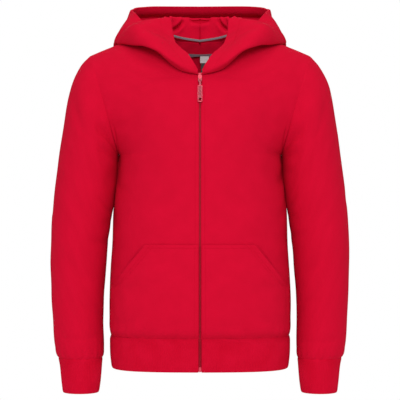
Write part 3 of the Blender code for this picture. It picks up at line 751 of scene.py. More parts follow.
SEEDS = {"left": 11, "right": 23}
# The cloth in millimetres from the hem seam to the underarm, up to the zip's top, and along the neck. Close
# to the shoulder seam, one step of place is a little less.
FRONT_RUNS = (286, 122, 105)
SHOULDER_RUN = 100.0
FRONT_WIDTH = 200
print(sum(len(table) for table in FRONT_CREASES.values()), "creases on the two fronts")


# %% The two fronts' cloth
def pocket_edge(z):
    """The s of the pocket's side edge at each height, and how far up its mouth that is, from 0 to 1."""
    climb = np.clip((z - POCKET_OPENING_Z) / (POCKET_TOP_Z - POCKET_OPENING_Z), 0, 1)
    return POCKET_SIDE_REACH + climb**POCKET_EDGE_CURVE * (POCKET_TOP_REACH - POCKET_SIDE_REACH), climb


def front_lift(place, u, s, side):
    """How far the front's cloth stands off the body's form: creases, unevenness, seams and stitching."""
    points = body(place, s)
    z = points[..., 2]
    width = lengths(body(place, np.linspace(0, 1, 60)))[0][:, -1:]
    from_side = width - u
    from_hem = z - HEM_SEAM_Z
    from_shoulder = SHOULDER_RUN * (3 - place)
    free = held(from_side) * held(from_hem) * held(from_shoulder) * held(u, 16.0)
    lift = creases(FRONT_CREASES[side], u, z) + ripple(u, z, SEEDS[side], 0.3)
    lift = lift * free + puckers(u, from_hem, SEEDS[side] + 1, 0.5) * held(u, 16.0)
    lift += groove(from_side, 0.15) + groove(from_hem, 0.4, 1.6) + groove(from_shoulder, 0.3)
    lift += groove(from_side - PIT_FOLD_IN, PIT_FOLD, 2.6) * bell(z - PIT_FOLD_Z, 17)
    edge, climb = pocket_edge(z)
    beyond_mouth = (s - edge) * width
    lift += groove(beyond_mouth - 3.0, MOUTH_HOLLOW, 2.4) * np.sin(math.pi * climb)
    return lift + groove(u, 1.1, 1.3) + groove(u - EDGE_STITCH, 0.3, STITCH_ROW)


def front_places():
    """Place from the hem seam (0) to the shoulder (3), in even steps along each run of the cloth."""
    counts = [round(run / STEP) for run in FRONT_RUNS]
    runs = [np.linspace(k, k + 1, count, endpoint=k == 2) for k, count in enumerate(counts)]
    return np.concatenate(runs)[:, None]


FRONTS = {}
place = front_places()
s = eased(round(FRONT_WIDTH / STEP))[None, :]
form, out = body(place, s), body_normals(place, s)
for side in ("left", "right"):
    lift = front_lift(place, lengths(form)[0], s, side)
    outer = pulled_in(form + lift[..., None] * out, columns=(False, True))
    below_slider = 1 / (1 + np.exp((outer[..., 2] - CLOSED_BELOW_Z) / 4))
    outer[..., 0] -= EDGE_LEANS_IN * below_slider * bell(lengths(outer)[0], 7)
    FRONTS[side] = (outer, out)
    inner = outer - FLEECE * out
    sewn_piece(f"front_{side}_cloth", "front", side, outer, inner, FLEECE_FACE)

# %% [markdown]
# ## The back
#
# The back is cut in one piece from side seam to side seam, and its top edge follows the shoulders and the
# neck. That neck curve would tear a plain grid, so the grid's top row is laid along the shoulder and neck
# seams, and the rows below ease out from it into level ones.

# %% The back
BACK_CREASES = [
    (-150, -172, -62, -126, 8, 10, 1.6),
    (-152, -190, -70, -180, -5, 9, 1.3),
    (-150, -212, -84, -246, -6, 9, 1.1),
    (150, -168, 70, -132, -7, 9, 1.5),
    (152, -188, 60, -196, 6, 9, 1.4),
    (148, -216, 92, -262, 6, 10, 1.0),
    (-120, -318, -20, -296, 8, 13, 1.2),
    (96, -302, 8, -322, 9, 12, 1.1),
    (-84, -366, 52, -350, -7, 12, 1.0),
    (-30, -98, 44, -106, 6, 14, 0.8),
    (-130, -446, -50, -438, 4, 8, 0.9),
    (20, -450, 112, -441, -4, 8, 0.9),
]
BACK_SEED = 37
BACK_ROWS = round(510 / STEP)
BACK_COLUMNS = round(210 / STEP)


def back_places():
    """Place and s over the left half of the back. The top row runs along the neck and shoulder seams."""
    neck = np.linspace(4, 3, round(0.42 * BACK_COLUMNS))
    shoulder = eased(BACK_COLUMNS - len(neck) + 1)[1:]
    top_place = np.concatenate([neck, np.full(len(shoulder), 3.0)])
    top_s = np.concatenate([np.zeros(len(neck)), shoulder])
    bottom_s = np.linspace(0, 1, BACK_COLUMNS)
    down = np.linspace(0, 1, BACK_ROWS)[:, None]
    place = top_place + down * (6 - top_place)
    s = top_s + np.minimum(1, 1.5 * down) * (bottom_s - top_s)
    return place, s


place, s = back_places()
form = both_sides(on_centre(body(place, s), 0))
out = unit(both_sides(on_centre(body_normals(place, s), 0)))
across, down = lengths(form)
from_side = np.minimum(across, across[:, -1:] - across)
u, z = form[..., 0], form[..., 2]
from_hem = z - HEM_SEAM_Z
lift = creases(BACK_CREASES, u, z) + ripple(u, z, BACK_SEED, 0.5)
lift = lift * held(from_side) * held(from_hem) * held(down) + puckers(u, from_hem, BACK_SEED + 1, 0.5)
lift += groove(from_side, 0.15) + groove(from_hem, 0.4, 1.6) + groove(down, 0.4)
outer = pulled_in(form + lift[..., None] * out)
sewn_piece("back_cloth", "back", "", outer, outer - FLEECE * out, FLEECE_FACE)

# %% [markdown]
# ## Sleeves
#
# A sleeve is cut flat and sewn into a tube along the underarm. Its sections are ovals that start as the
# armhole's leaning loop and level out towards the wrist, where the fleece blouses over the tighter cuff.
# Folds gather on the inside of the elbow, where an arm bends. On a tube the creases' first measure is an
# angle, turned into millimetres round the sleeve, and it has to wrap: a fold at 350 degrees is close to one
# at 10.

# %% Sleeves
# Place, outer x, z, inner x, z, middle y, half depth.
SLEEVE = [
    (0.00, 176.0, -26, 130.0, -184, 2, 57.0),
    (0.05, 189.5, -40, 131.0, -193, 2, 58.5),
    (0.10, 201.0, -60, 131.3, -202, 1, 59.0),
    (0.18, 211.0, -94, 132.0, -216, 0, 58.0),
    (0.28, 219.0, -145, 133.9, -236, -1, 56.0),
    (0.38, 226.0, -195, 137.3, -262, -2, 53.5),
    (0.48, 232.0, -242, 142.4, -292, -4, 51.0),
    (0.58, 236.5, -292, 147.2, -330, -6, 48.5),
    (0.68, 238.0, -345, 150.0, -368, -8, 46.0),
    (0.78, 236.5, -397, 152.6, -406, -11, 43.5),
    (0.88, 233.5, -445, 153.6, -448, -14, 41.0),
    (0.96, 230.0, -488, 153.0, -488, -17, 38.5),
    (0.99, 227.5, -501, 153.8, -501, -18, 36.5),
    (1.00, 224.5, -506, 155.0, -506, -18, 35.0),
]
SLEEVE_GIRTH = 320.0
SLEEVE_LENGTH = 470.0
UNDERARM_SEAM = 188.0
PRESSED_ANGLE = 28
PRESSED_TO = 0.55

# Angle (0 outside, 90 front, 180 inside) and place of both ends, bow, width, depth.
SLEEVE_CREASES = {
    "left": [
        (150, 0.01, 100, 0.13, 5, 9, 3.6),
        (160, 0.05, 116, 0.22, 6, 9, 2.2),
        (176, 0.11, 128, 0.30, 6, 9, 1.2),
        (214, 0.03, 268, 0.15, -5, 10, 1.5),
        (204, 0.10, 250, 0.26, -5, 9, 1.2),
        (34, 0.09, 78, 0.23, 7, 15, 1.6),
        (128, 0.37, 214, 0.42, 6, 9, 1.8),
        (136, 0.47, 222, 0.45, -6, 8, 1.5),
        (118, 0.55, 196, 0.51, 5, 8, 1.2),
        (78, 0.64, 136, 0.70, 6, 11, 0.9),
        (206, 0.68, 272, 0.60, 6, 10, 1.0),
        (330, 0.44, 372, 0.52, 5, 12, 0.8),
        (100, 0.80, 168, 0.84, -5, 9, 0.9),
        (24, 0.925, 150, 0.94, 3, 6, 1.0),
        (192, 0.935, 318, 0.915, -3, 6, 1.0),
    ],
    "right": [
        (152, 0.01, 98, 0.12, 6, 9, 3.4),
        (160, 0.06, 110, 0.20, 5, 9, 2.4),
        (178, 0.13, 134, 0.34, 6, 10, 1.2),
        (212, 0.03, 262, 0.17, -5, 10, 1.4),
        (202, 0.12, 256, 0.24, -5, 9, 1.2),
        (30, 0.11, 82, 0.21, 7, 14, 1.5),
        (122, 0.39, 208, 0.44, 6, 9, 1.7),
        (140, 0.50, 228, 0.47, -6, 8, 1.3),
        (112, 0.58, 188, 0.54, 5, 8, 1.3),
        (70, 0.67, 140, 0.73, 6, 11, 1.0),
        (210, 0.71, 268, 0.64, 6, 10, 0.9),
        (326, 0.47, 366, 0.56, 5, 12, 0.8),
        (96, 0.83, 160, 0.87, -5, 9, 0.9),
        (36, 0.930, 164, 0.92, 3, 6, 1.0),
        (200, 0.920, 330, 0.94, -3, 6, 1.0),
    ],
}
print(sum(len(table) for table in SLEEVE_CREASES.values()), "creases on the two sleeves")


# %% The sleeves' cloth
def rings(table, places, count):
    """Closed oval sections of a tube, from its outer side round by the front: cosine across, sine deep."""
    rows = through(table, places)[:, :, None]
    outer_x, outer_z, inner_x, inner_z, middle_y, depth = (rows[:, k] for k in range(6))
    turn = np.linspace(0, 2 * math.pi, count, endpoint=False)[None, :]
    x = (outer_x + inner_x) / 2 + (outer_x - inner_x) / 2 * np.cos(turn)
    y = middle_y - depth * np.sin(turn)
    z = (outer_z + inner_z) / 2 + (outer_z - inner_z) / 2 * np.cos(turn)
    return np.stack([x, y, z], axis=-1)


places = eased(round(SLEEVE_LENGTH / STEP), 0.8)[:, None]
count = round(SLEEVE_GIRTH / STEP)
turn = np.linspace(0, 2 * math.pi, count, endpoint=False)
form = rings(SLEEVE, places[:, 0], count)
form[..., 0] -= ARMHOLE_CUT_IN * np.sin(turn) ** 2 * bell(places, 0.06)
form_out = normals(form, ring=True)
# Where the sleeve lies against the body, on its inner side down to the elbow, its folds are pressed flat.
inner_side = bell(np.degrees(turn) - 180, PRESSED_ANGLE)
free = 1 - inner_side * np.exp(-((places / PRESSED_TO) ** 6))
u = np.linspace(0, SLEEVE_GIRTH, count, endpoint=False)[None, :]
v = SLEEVE_LENGTH * places
from_cuff = SLEEVE_LENGTH - v
for side in ("left", "right"):
    lift = creases(SLEEVE_CREASES[side], u, v, (SLEEVE_GIRTH / 360, SLEEVE_LENGTH), SLEEVE_GIRTH)
    lift = lift + ripple(SLEEVE_GIRTH / 6 * np.cos(turn), v, SEEDS[side] + 5, 0.4)
    lift = lift * held(v) * held(from_cuff, 5.0) * free
    lift = lift + puckers(u, from_cuff, SEEDS[side] + 6, 0.7, pitch=16.0)
    lift += groove(v, 0.15) + groove(from_cuff, 0.6, 1.6)
    lift += groove(u - UNDERARM_SEAM / 360 * SLEEVE_GIRTH, 0.7, 1.4)
    outer = pulled_in(form + lift[..., None] * form_out, columns=(False, False))
    outer, out = tucked(outer, form_out)
    inner = outer - FLEECE * out
    sewn_piece(f"sleeve_{side}_cloth", "sleeve", side, outer, inner, FLEECE_FACE, ring=True)

# %% [markdown]
# ## Rib bands at the cuffs and the hem
#
# Rib is knitted with wales that stand proud, turn and turn about, so that it stretches. A bump map would do
# from far off, but the edge of the band shows the ribs in outline, and so they are real ridges: a cosine of
# the distance round the band. A rib is about 2.6 mm wide here, stretched over the hips, and each needs
# several columns of points.

# %% Rib bands at the cuffs and the hem
RIB = 2.2
RIB_PITCH = 2.6
RIB_HEIGHT = 0.42
RIB_COLUMNS = 5
SEAM_ALLOWANCE_LIFT = 0.4
BAND_FULLNESS = 1.5
BAND_ROWS = 18
CUFF_GIRTH = 200.0
# Place, outer x, z, inner x, z, middle y, half depth.
CUFF = [
    (0.00, 224.5, -506, 155.0, -506, -18, 35.0),
    (0.25, 222.4, -518, 155.6, -518, -18.5, 33.5),
    (0.60, 220.0, -541, 157.4, -541, -19.5, 31.5),
    (1.00, 217.6, -560.5, 160.2, -560.5, -20, 29.5),
]


def ribs(u, down):
    """Ridges on a band, a cosine of the distance round it, that flatten at the seam and the turned edge."""
    from_edge = down[-1:] - down
    ridge = RIB_HEIGHT * (np.cos(2 * math.pi * u / RIB_PITCH) - 1) / 2 * held(down, 2.5)
    allowance = SEAM_ALLOWANCE_LIFT * bell(down, 7)
    return ridge + allowance + groove(down, 0.5, 1.4) + groove(from_edge, 0.9, 1.5)


cuff_ribs = round(CUFF_GIRTH / RIB_PITCH)
form = rings(CUFF, eased(BAND_ROWS), cuff_ribs * RIB_COLUMNS)
out = normals(form, ring=True)
u = np.linspace(0, cuff_ribs * RIB_PITCH, cuff_ribs * RIB_COLUMNS, endpoint=False)[None, :]
lift = ribs(u, lengths(form)[1])
outer = pulled_in(form + lift[..., None] * out, rows=(True, False), columns=(False, False))
outer, out = tucked(outer, out)
for side in ("left", "right"):
    sewn_piece(f"cuff_{side}_rib", "cuff", side, outer, outer - RIB * out, RIB_KNIT, ring=True)
print(cuff_ribs, "ribs round a cuff")


# %% The hem band
def round_the_hem(level, turned):
    """Points of the left half band: from the zip (turned 0) by the side seam (1) to the centre back (2)."""
    front, back = body(level, np.minimum(turned, 1)), body(6 - level, np.minimum(2 - turned, 1))
    return np.where((turned <= 1)[..., None], front, back)


foot = (HEM_Z - HEM_SEAM_Z) / (UNDERARM_Z - HEM_SEAM_Z)
turned = np.linspace(0, 2, 799)
girth = lengths(round_the_hem(foot / 2, turned)[None])[0][0]
hem_ribs = round(girth[-1] / RIB_PITCH)
around = np.linspace(0, girth[-1], hem_ribs * RIB_COLUMNS)
level = eased(BAND_ROWS)[:, None] * foot
form = both_sides(round_the_hem(level, np.interp(around, girth, turned)[None])[:, ::-1])
out = normals(form)
u = np.concatenate([around, around[-2::-1]])[None, :]
across, down = lengths(form)
from_zip = np.minimum(across, across[:, -1:] - across)
lift = ribs(u, down) + groove(from_zip, 1.0, 1.5) + BAND_FULLNESS * held(down, 4)
outer = pulled_in(form + lift[..., None] * out, rows=(True, False), columns=(False, False))
outer, out = tucked(outer, out)
sewn_piece("hem_band_rib", "hem_band", "", outer, outer - RIB * out, RIB_KNIT)
print(2 * hem_ribs, "ribs round the hem")

# %% [markdown]
# ## The pocket
#
# The kangaroo pocket is a second layer of fleece in two halves, sewn to the front along its top, its lower
# edge and the zip. The slanted side edge is its mouth: hemmed, and standing off the body a little, because
# hands have pulled it. It is made from the front's own surface, moved out, so it follows every fold beneath
# it.

# %% The pocket
POCKET_MOUTH_LIFT = 5.0
POCKET_CLEAR = 1.0
POCKET_FOOT = 1.5
FOOT_PRESSED = -2.4
POCKET_SIZE = 150
POCKET_CROWN = 1.6
CROWN_REACH = 24
MOUTH_HEM = 15.0
MOUTH_ROWS_APART = 5.0
TOP_HEM = 5.0

steps = eased(round(POCKET_SIZE / STEP))
height = (POCKET_FOOT + steps * (POCKET_TOP_Z - HEM_SEAM_Z - POCKET_FOOT))[:, None]
z = HEM_SEAM_Z + height
reach, climb = pocket_edge(z)
place = height / (UNDERARM_Z - HEM_SEAM_Z)
s = reach * steps
form = body(place, s)
out = body_normals(place, s)
out[0, :, 2] = 0
out = unit(out)
u = lengths(form)[0]
from_mouth = u[:, -1:] - u
from_top = POCKET_TOP_Z - z + 0 * u
crown = held(u, CROWN_REACH) * held(from_mouth, CROWN_REACH) * held(from_top, CROWN_REACH) * held(height, 20)
clear = POCKET_CLEAR + FOOT_PRESSED * bell(height - POCKET_FOOT, 5) + POCKET_CROWN * crown
clear = clear + POCKET_MOUTH_LIFT * np.sin(math.pi * climb) * steps**6
clear += groove(from_mouth - MOUTH_HEM, 0.45, STITCH_ROW) + groove(from_top - TOP_HEM, 0.35, STITCH_ROW)
clear += groove(from_mouth - MOUTH_HEM + MOUTH_ROWS_APART, 0.35, STITCH_ROW)
rounding = FLEECE + groove(from_mouth, 0.5, 1.0) + groove(from_top, 0.6, 1.2)
POCKETS = {}
for side in ("left", "right"):
    lift = front_lift(place, u, s, side) + ripple(u, z, SEEDS[side] + 9, 0.25, 60)
    inner = form + (clear + lift)[..., None] * out
    outer = inner + rounding[..., None] * out
    POCKETS[side] = (inner + FLEECE * out, out, from_mouth, from_top)
    sewn_piece(f"pocket_{side}_cloth", "pocket", side, outer, inner, FLEECE_FACE)

# %% [markdown]
# ## The hood
#
# A hood is two curved halves of fleece and two of lining, joined by a seam over the top of the head. Here it
# is down: from the neck seam the cloth climbs a little, turns over a lip, drops into the bag of the hood
# behind the neck, comes up again outside and ends in the hemmed rim. Each row of the table is one such
# section, from the zip to the centre back. The shell's edge is folded inward over the lining, and that fold
# is modelled: the middle of the cloth goes up to the rim, round half an ellipse, and back down inside.

# %% The hood's form
HOOD_SHELL = 1.6
HOOD_LINING = 1.2
RIM_FOLD = 1.65
RIM_SHORTER = 2.0
FACING_OFFSET = 0.7
HEM_OF_HOOD = 19.0
HOOD_ROUND = 300
HOOD_DEEP = 330

# Place from the zip to the centre back, then lip, wall, bottom, face and rim as x, y, z.
HOOD = [
    (0.0, 3.8, -91, -60, 4.2, -91.5, -59, 4.4, -91.5, -58, 4.4, -91, -57, 4.2, -90, -56),
    (0.1, 17.4, -90.5, -58, 18.0, -93.5, -57.5, 18.4, -96, -54.5, 15.5, -94, -50, 10.5, -87, -44),
    (0.2, 35.5, -84.5, -51, 37.5, -91, -48.5, 40, -98, -43.0, 36, -91, -36, 21, -76, -28),
    (0.3, 55.5, -71, -31, 60, -79, -29, 66, -90, -24.0, 60, -80, -13, 37, -59, -13),
    (0.4, 71.5, -47, -4.5, 79, -57, -9, 91, -70, -14.0, 86, -63, 8, 42.5, -39, 6),
    (0.5, 80, -15, 14, 95, -24, 2, 114, -38, -9.5, 104, -44, 19, 49, -24, 32),
    (0.6, 72, 9, 31, 98, 8, 16, 130, -4, -6, 115, -15, 18, 80, -10, 21.5),
    (0.7, 57, 35, 39, 86, 48, 6, 137, 31, -7, 120, 22, 31, 103, 14, 43),
    (0.8, 42, 50, 41, 66, 68, -12, 128, 70, -43, 118, 63, 22, 111, 58, 57),
    (0.9, 22, 61, 42, 33, 86, -36, 84, 100, -98, 94, 106, -2, 80, 86, 64.4),
    (1.0, 0, 65, 42, 0, 92, -48, 0, 114, -122, 0, 131, -30, 0, 99, 66),
]


def hood_sheet(places, along):
    """The middle of the hood's two layers. Each section is a curve through its named places, whose knots are
    the running sum of the square roots of their mean distances. Rows run from the neck seam to the rim."""
    body_out = body_normals(2 + 2 * places, 0.01)
    seam = through(NECK_SEAM, places) + (HOOD_SHELL + 3 * SEAM_GAP) * body_out
    named = through(HOOD, places).reshape(len(places), 5, 3)
    stations = np.concatenate([seam[:, None], named], axis=1)
    step = np.linalg.norm(np.diff(stations, axis=1), axis=2).mean(axis=0)
    knots = np.concatenate([[0], np.cumsum(np.sqrt(step))])
    knots = knots / knots[-1]
    return np.stack([through(np.column_stack([knots, section]), along) for section in stations], axis=1)


hood_places = np.linspace(0, 1, round(HOOD_ROUND / STEP))
hood_form = on_centre(hood_sheet(hood_places, np.linspace(0, 1, round(HOOD_DEEP / STEP))), -1)
hood_out = unit(on_centre(normals(hood_form), -1))
hood_down = lengths(hood_form)[1]
print("the hood is", round(float(hood_down[-1, -1])), "mm from neck to rim at its centre back")

# %% [markdown]
# ## The hood's folds, shell and lining
#
# The hood is the loosest cloth on the garment and has the sharpest folds: a dip in the near rim on both
# sides, a hollow under the lip at the back of the neck, slanting drags where the lip turns forward, and slack
# swags in the bag behind. Both layers move together, as cloth sewn round its edge does.

# %% The hood's folds
HOOD_GIRTH = 420.0

# Place (0 to 1) and mm down from the neck seam of both ends, bow, width, depth. Below 0, the lining hollows.
HOOD_CREASES = {
    "left": [
        (0.92, 31, 1.08, 31, 0, 4.5, -7.5),
        (0.70, 8, 0.80, 40, 4, 3.8, -10.0),
        (0.77, 6, 0.86, 30, -3, 3.6, -9.0),
        (0.62, 16, 0.70, 44, 3, 4.4, -7.5),
        (0.55, 150, 0.66, 62, 8, 8, 1.6),
        (0.66, 160, 0.74, 80, -7, 9, 1.5),
        (0.44, 96, 0.56, 88, 6, 8, 1.3),
        (0.30, 62, 0.44, 70, 5, 8, 0.9),
        (0.74, 210, 0.98, 236, 12, 13, 2.4),
        (0.70, 236, 0.88, 284, 10, 11, 1.8),
        (0.86, 170, 1.10, 178, 9, 12, 2.0),
        (0.84, 300, 1.12, 296, -6, 10, 1.3),
    ],
    "right": [
        (0.92, 31, 1.08, 31, 0, 4.5, -7.5),
        (0.71, 10, 0.79, 42, 5, 3.8, -9.6),
        (0.76, 5, 0.87, 27, -3, 3.6, -9.4),
        (0.60, 18, 0.69, 42, 3, 4.4, -7.2),
        (0.54, 142, 0.65, 60, 9, 8, 1.5),
        (0.67, 152, 0.75, 76, -6, 9, 1.7),
        (0.46, 92, 0.58, 90, 5, 8, 1.1),
        (0.31, 64, 0.42, 66, 4, 8, 1.0),
        (0.76, 204, 0.99, 226, 10, 13, 2.2),
        (0.72, 244, 0.90, 276, 9, 11, 2.0),
        (0.88, 164, 1.10, 178, 9, 12, 2.0),
        (0.86, 306, 1.12, 296, -6, 10, 1.3),
    ],
}
print(sum(len(table) for table in HOOD_CREASES.values()), "folds in the hood's two halves")


# %% The hood's turned-in rim
def folded_rim(form, out, down):
    """The middle surface of a shell whose edge turns in: the form, half an ellipse round its rim, and a
    facing that runs back inside for the hem's width, or a third of the section where that is short."""
    gap = (SEAM_GAP + HOOD_SHELL) / 2
    heading = unit(form[-1] - form[-2])
    start = form + gap * out
    start[-1] -= RIM_SHORTER * heading
    turn = np.linspace(0, math.pi, 10)[1:-1, None, None]
    middle = start[-1] - (FACING_OFFSET + gap) * out[-1]
    bend = middle + RIM_FOLD * (np.cos(turn) * out[-1] + np.sin(turn) * heading)
    inside = form - (FACING_OFFSET + RIM_FOLD) * out
    hem = np.minimum(HEM_OF_HOOD, 0.33 * down[-1])
    at = down[-1] - np.linspace(0, 1, round(HEM_OF_HOOD / STEP) + 2)[:, None] * hem
    facing = np.empty((len(at), form.shape[1], 3))
    for column, axis in np.ndindex(facing.shape[1:]):
        facing[:, column, axis] = np.interp(at[:, column], down[:, column], inside[:, column, axis])
    return np.concatenate([start, bend, facing])


rim_rows = len(folded_rim(hood_form, hood_out, hood_down)) - len(hood_form)
print("the rim's turn and facing add", rim_rows, "rows")

# %% The hood's shell and lining
# The near rim's dips: place, mm below the rim of both ends, bow, width, depth.
RIM_DIPS = {
    "left": [(0.595, 1, 0.585, 14, 0, 3.4, 4.6)],
    "right": [(0.592, 1, 0.583, 15, 0, 3.6, 4.2)],
}
RECESS = 10.0
RECESS_BELOW_RIM = 21.0
RECESS_FROM = 0.76
HALVES_OVERLAP = 0.03

HOODS = {}
from_zip = hood_places[None, :] * HOOD_GIRTH
from_centre = HOOD_GIRTH - from_zip
from_rim = hood_down[-1:] - hood_down
behind = held(np.maximum(from_zip - RECESS_FROM * HOOD_GIRTH, 0), 36)
recess = RECESS * behind * bell(from_rim - RECESS_BELOW_RIM, 7)
for side in ("left", "right"):
    lift = creases(HOOD_CREASES[side], from_zip, hood_down, (HOOD_GIRTH, 1)) + recess
    lift += ripple(from_zip, hood_down, SEEDS[side] + 13, 0.5, 90) * held(from_centre, 20)
    lift += creases(RIM_DIPS[side], from_zip, from_rim, (HOOD_GIRTH, 1))
    lift *= held(hood_down) * held(from_zip, 60)
    seam_dip = groove(from_centre, 0.6, 1.8) + groove(from_rim - HEM_OF_HOOD, 0.35, STITCH_ROW)
    middle = folded_rim(hood_form + (lift + seam_dip)[..., None] * hood_out, hood_out, hood_down)
    middle = on_centre(middle, -1)
    out = unit(on_centre(normals(middle), -1))
    middle = pulled_in(middle, (False, False), (False, True), -HALVES_OVERLAP)
    outer, inner = middle + HOOD_SHELL / 2 * out, middle - HOOD_SHELL / 2 * out
    HOODS[side] = (outer, out)
    sewn_piece(f"hood_{side}_shell", "hood", side, outer, inner, FLEECE_FACE)
    lining = hood_form + (lift - groove(from_centre, 0.8, 1.6))[..., None] * hood_out
    lining = pulled_in(lining, (False, False), (False, True), -HALVES_OVERLAP)
    outer = lining - SEAM_GAP / 2 * hood_out
    inner = outer - HOOD_LINING * hood_out
    sewn_piece(f"hood_{side}_lining_cloth", "hood_lining", side, outer, inner, BRUSHED_PAINTED_LIGHTER)

# %% [markdown]
# ## Inside the back neck
#
# The seam that joins hood and body is covered with a herringbone tape, because it would scratch. Below it lies
# a half-moon facing with a bound edge, and two labels hang there. Labels on such a garment are printed; these
# stay blank. The facing and its binding follow the back panel's own surface, so they lie on the cloth and not
# near it; the tape follows the neck seam.

# %% Inside the back neck
NECK_TAPE_FROM = 0.68
NECK_TAPE_RISE = 2.4
NECK_TAPE_DROP = 1.2
NECK_TAPE_INSIDE = 2.8
TAPE = 0.7
FACING = 1.2
FACING_REACH = 0.4
FACING_DEPTH = 0.105
FACING_BEHIND = FLEECE + 2.6
BINDING_BEHIND = FACING_BEHIND + FACING + 0.6
BINDING_ABOVE = 2.6
BINDING_BELOW = 0.8
NECK_TAPE_BELLY = 0.35
LABEL = 0.5
LABEL_BOW = 0.25
LABEL_Y = 64.5
LABEL_BEHIND = 1.2
# Each label's left and right x, and its lower and upper z.
SIZE_LABEL = (0.3, 14.4, -31.0, -20.0)
NECK_LABEL = (1.8, 12.8, -49.0, -31.5)


def facing_grid(down):
    """The half-moon facing on the back panel's surface. Rows run from the neck seam (down 0) to its lower
    edge (1), which is nearly level in the middle and climbs to the seam at its ends."""
    c = np.linspace(0, 1, 40)
    top = 4 - FACING_REACH * c
    low = 4 + FACING_DEPTH - 0.17 * c**2 - 0.33 * c**8
    low_s = 0.4 * c * (1 - c**5) + 0.02 * c
    place = top + down * (low - top)
    s = down * low_s
    points = both_sides(on_centre(body(place, s), 0))
    return points, unit(both_sides(on_centre(body_normals(place, s), 0)))


seam = both_sides(through(NECK_SEAM, np.linspace(1, NECK_TAPE_FROM, 60))[None])[0]
heading = unit(np.gradient(seam, axis=0) * (1, 1, 0))
inward = np.stack([heading[:, 1], -heading[:, 0], heading[:, 2]], axis=-1)
rows = np.linspace(0, 1, 9)[:, None, None]
upright = (NECK_TAPE_RISE - rows * (NECK_TAPE_RISE + NECK_TAPE_DROP)) * (0, 0, 1)
belly = NECK_TAPE_BELLY * (1 - (2 * rows - 1) ** 4)
grid = seam + (NECK_TAPE_INSIDE + belly) * inward + upright
sewn_piece("neck_tape_herringbone", "neck_tape", "", grid, grid + TAPE * inward, HERRINGBONE)

grid, out = facing_grid(np.linspace(0.28, 1, 22)[:, None])
outer = grid - FACING_BEHIND * out
inner = outer - FACING * out
sewn_piece("neck_facing_cloth", "neck_facing", "", outer, inner, BRUSHED_PAINTED_LIGHTER)
facing_length = lengths(facing_grid(np.linspace(0, 1, 22)[:, None])[0])[1][-1, 39:]
rows = np.linspace(-BINDING_ABOVE, BINDING_BELOW, 7)[:, None]
grid, out = facing_grid(1 + rows / np.maximum(facing_length, 2 * BINDING_ABOVE))
outer = grid - BINDING_BEHIND * out
inner = outer - TAPE * out
sewn_piece("facing_binding_tape", "facing_binding", "", outer, inner, HERRINGBONE)


# %% The two blank labels
def label(name, kind, sides, y, finish):
    """A blank label: an upright sheet between two x and two z values, bowed by half a sine wave each way."""
    left, right, low, high = sides
    x, z = np.meshgrid(np.linspace(left, right, 14), np.linspace(high, low, 14))
    across, down = (x - left) / (right - left), (high - z) / (high - low)
    bow = LABEL_BOW * np.sin(math.pi * down) * np.cos(math.pi * across)
    grid = np.stack([x, y + bow, z], axis=-1)
    sewn_piece(name, kind, "", grid + (0, LABEL, 0), grid, finish)


label("size_label_blank", "size_label", SIZE_LABEL, LABEL_Y, PALE_SATIN)
label("neck_label_blank", "neck_label", NECK_LABEL, LABEL_Y + LABEL_BEHIND, DARK_SATIN)

# %% [markdown]
# ## The zip
#
# A nylon coil zip has two woven tapes, sewn behind the front edges, and a coil of stiff thread sewn along
# each tape's own edge. Closed, the two coils mesh, and from the front they show as a narrow column of small
# bars, left and right in turn. A coil turns every 1.3 mm here, as on a size 3 zip. Each half turn is modelled
# as a short rounded bar, and all the bars of one side are one array of points.

# %% The zip's measures and finishes
ZIP_TAPE_WIDTH = 13.0
ZIP_TAPE_REACH = 12.6
ZIP_SET_BACK = 3.6
ZIP_TAPE_START = 0.5
TOOTH_PITCH = 1.3
TOOTH_RADIUS = 0.5
TOOTH_REACH = 1.45
TOOTH_OVERLAP = 0.35
TOOTH_BACK = 0.35
TOOTH_RISE = 0.25
CHAIN_BEHIND = 1.25
CHAIN_PARTING = 4.0
HINGE_Z = -69.0


def hard_surface(name, light, dark, blob_mm, unevenness_mm, **values):
    """A moulded or cast surface: two close tones in small blobs, and a low bump of half their size."""
    made, tree, shader = new_material(name, **values)
    place = add_node(tree, "TexCoord").outputs["Object"]
    mottled(tree, shader, place, light, dark, blob_mm)
    bump(tree, shader, noise(tree, place, blob_mm / 2), unevenness_mm, 0.5)
    return made


# Die-cast zinc dipped in red lacquer: a clear coat with a small soft highlight. Its pale pink is partly the
# lacquer's own red and partly painted light: the lit copy of the lacquer that is painted dark in the tab's
# recess.
POLISHED = {"Metallic": 0.4, "Roughness": 0.35, "Coat_Weight": 0.2}
LACQUERED_ZINC_PAINTED_LIT = hard_surface("red_lacquered_die_cast_zinc_painted_lit", "D4445A", "C42C42", 2.5, 0.03, **POLISHED)
# The same lacquer, duller, and painted darker as the shade in the tab's recess; the whole tab and its grip bars
# take it.
DULL = {"Metallic": 0.5, "Roughness": 0.5, "Coat_Weight": 0.1}
SHADED_RECESS_ZINC = hard_surface("red_lacquered_zinc_painted_recess_shade", "8E2434", "7E1828", 2.5, 0.04, **DULL)
# Drawn nylon thread, dyed through: smooth, with a small soft shine and a faint streak in its colour.
DRAWN = {"Roughness": 0.45, "Specular_IOR_Level": 0.15}
NYLON = hard_surface("drawn_nylon_coil", "A20C24", "92081C", 4.0, 0.02, **DRAWN)
print("hard finishes:", [m.name for m in (LACQUERED_ZINC_PAINTED_LIT, SHADED_RECESS_ZINC, NYLON)])


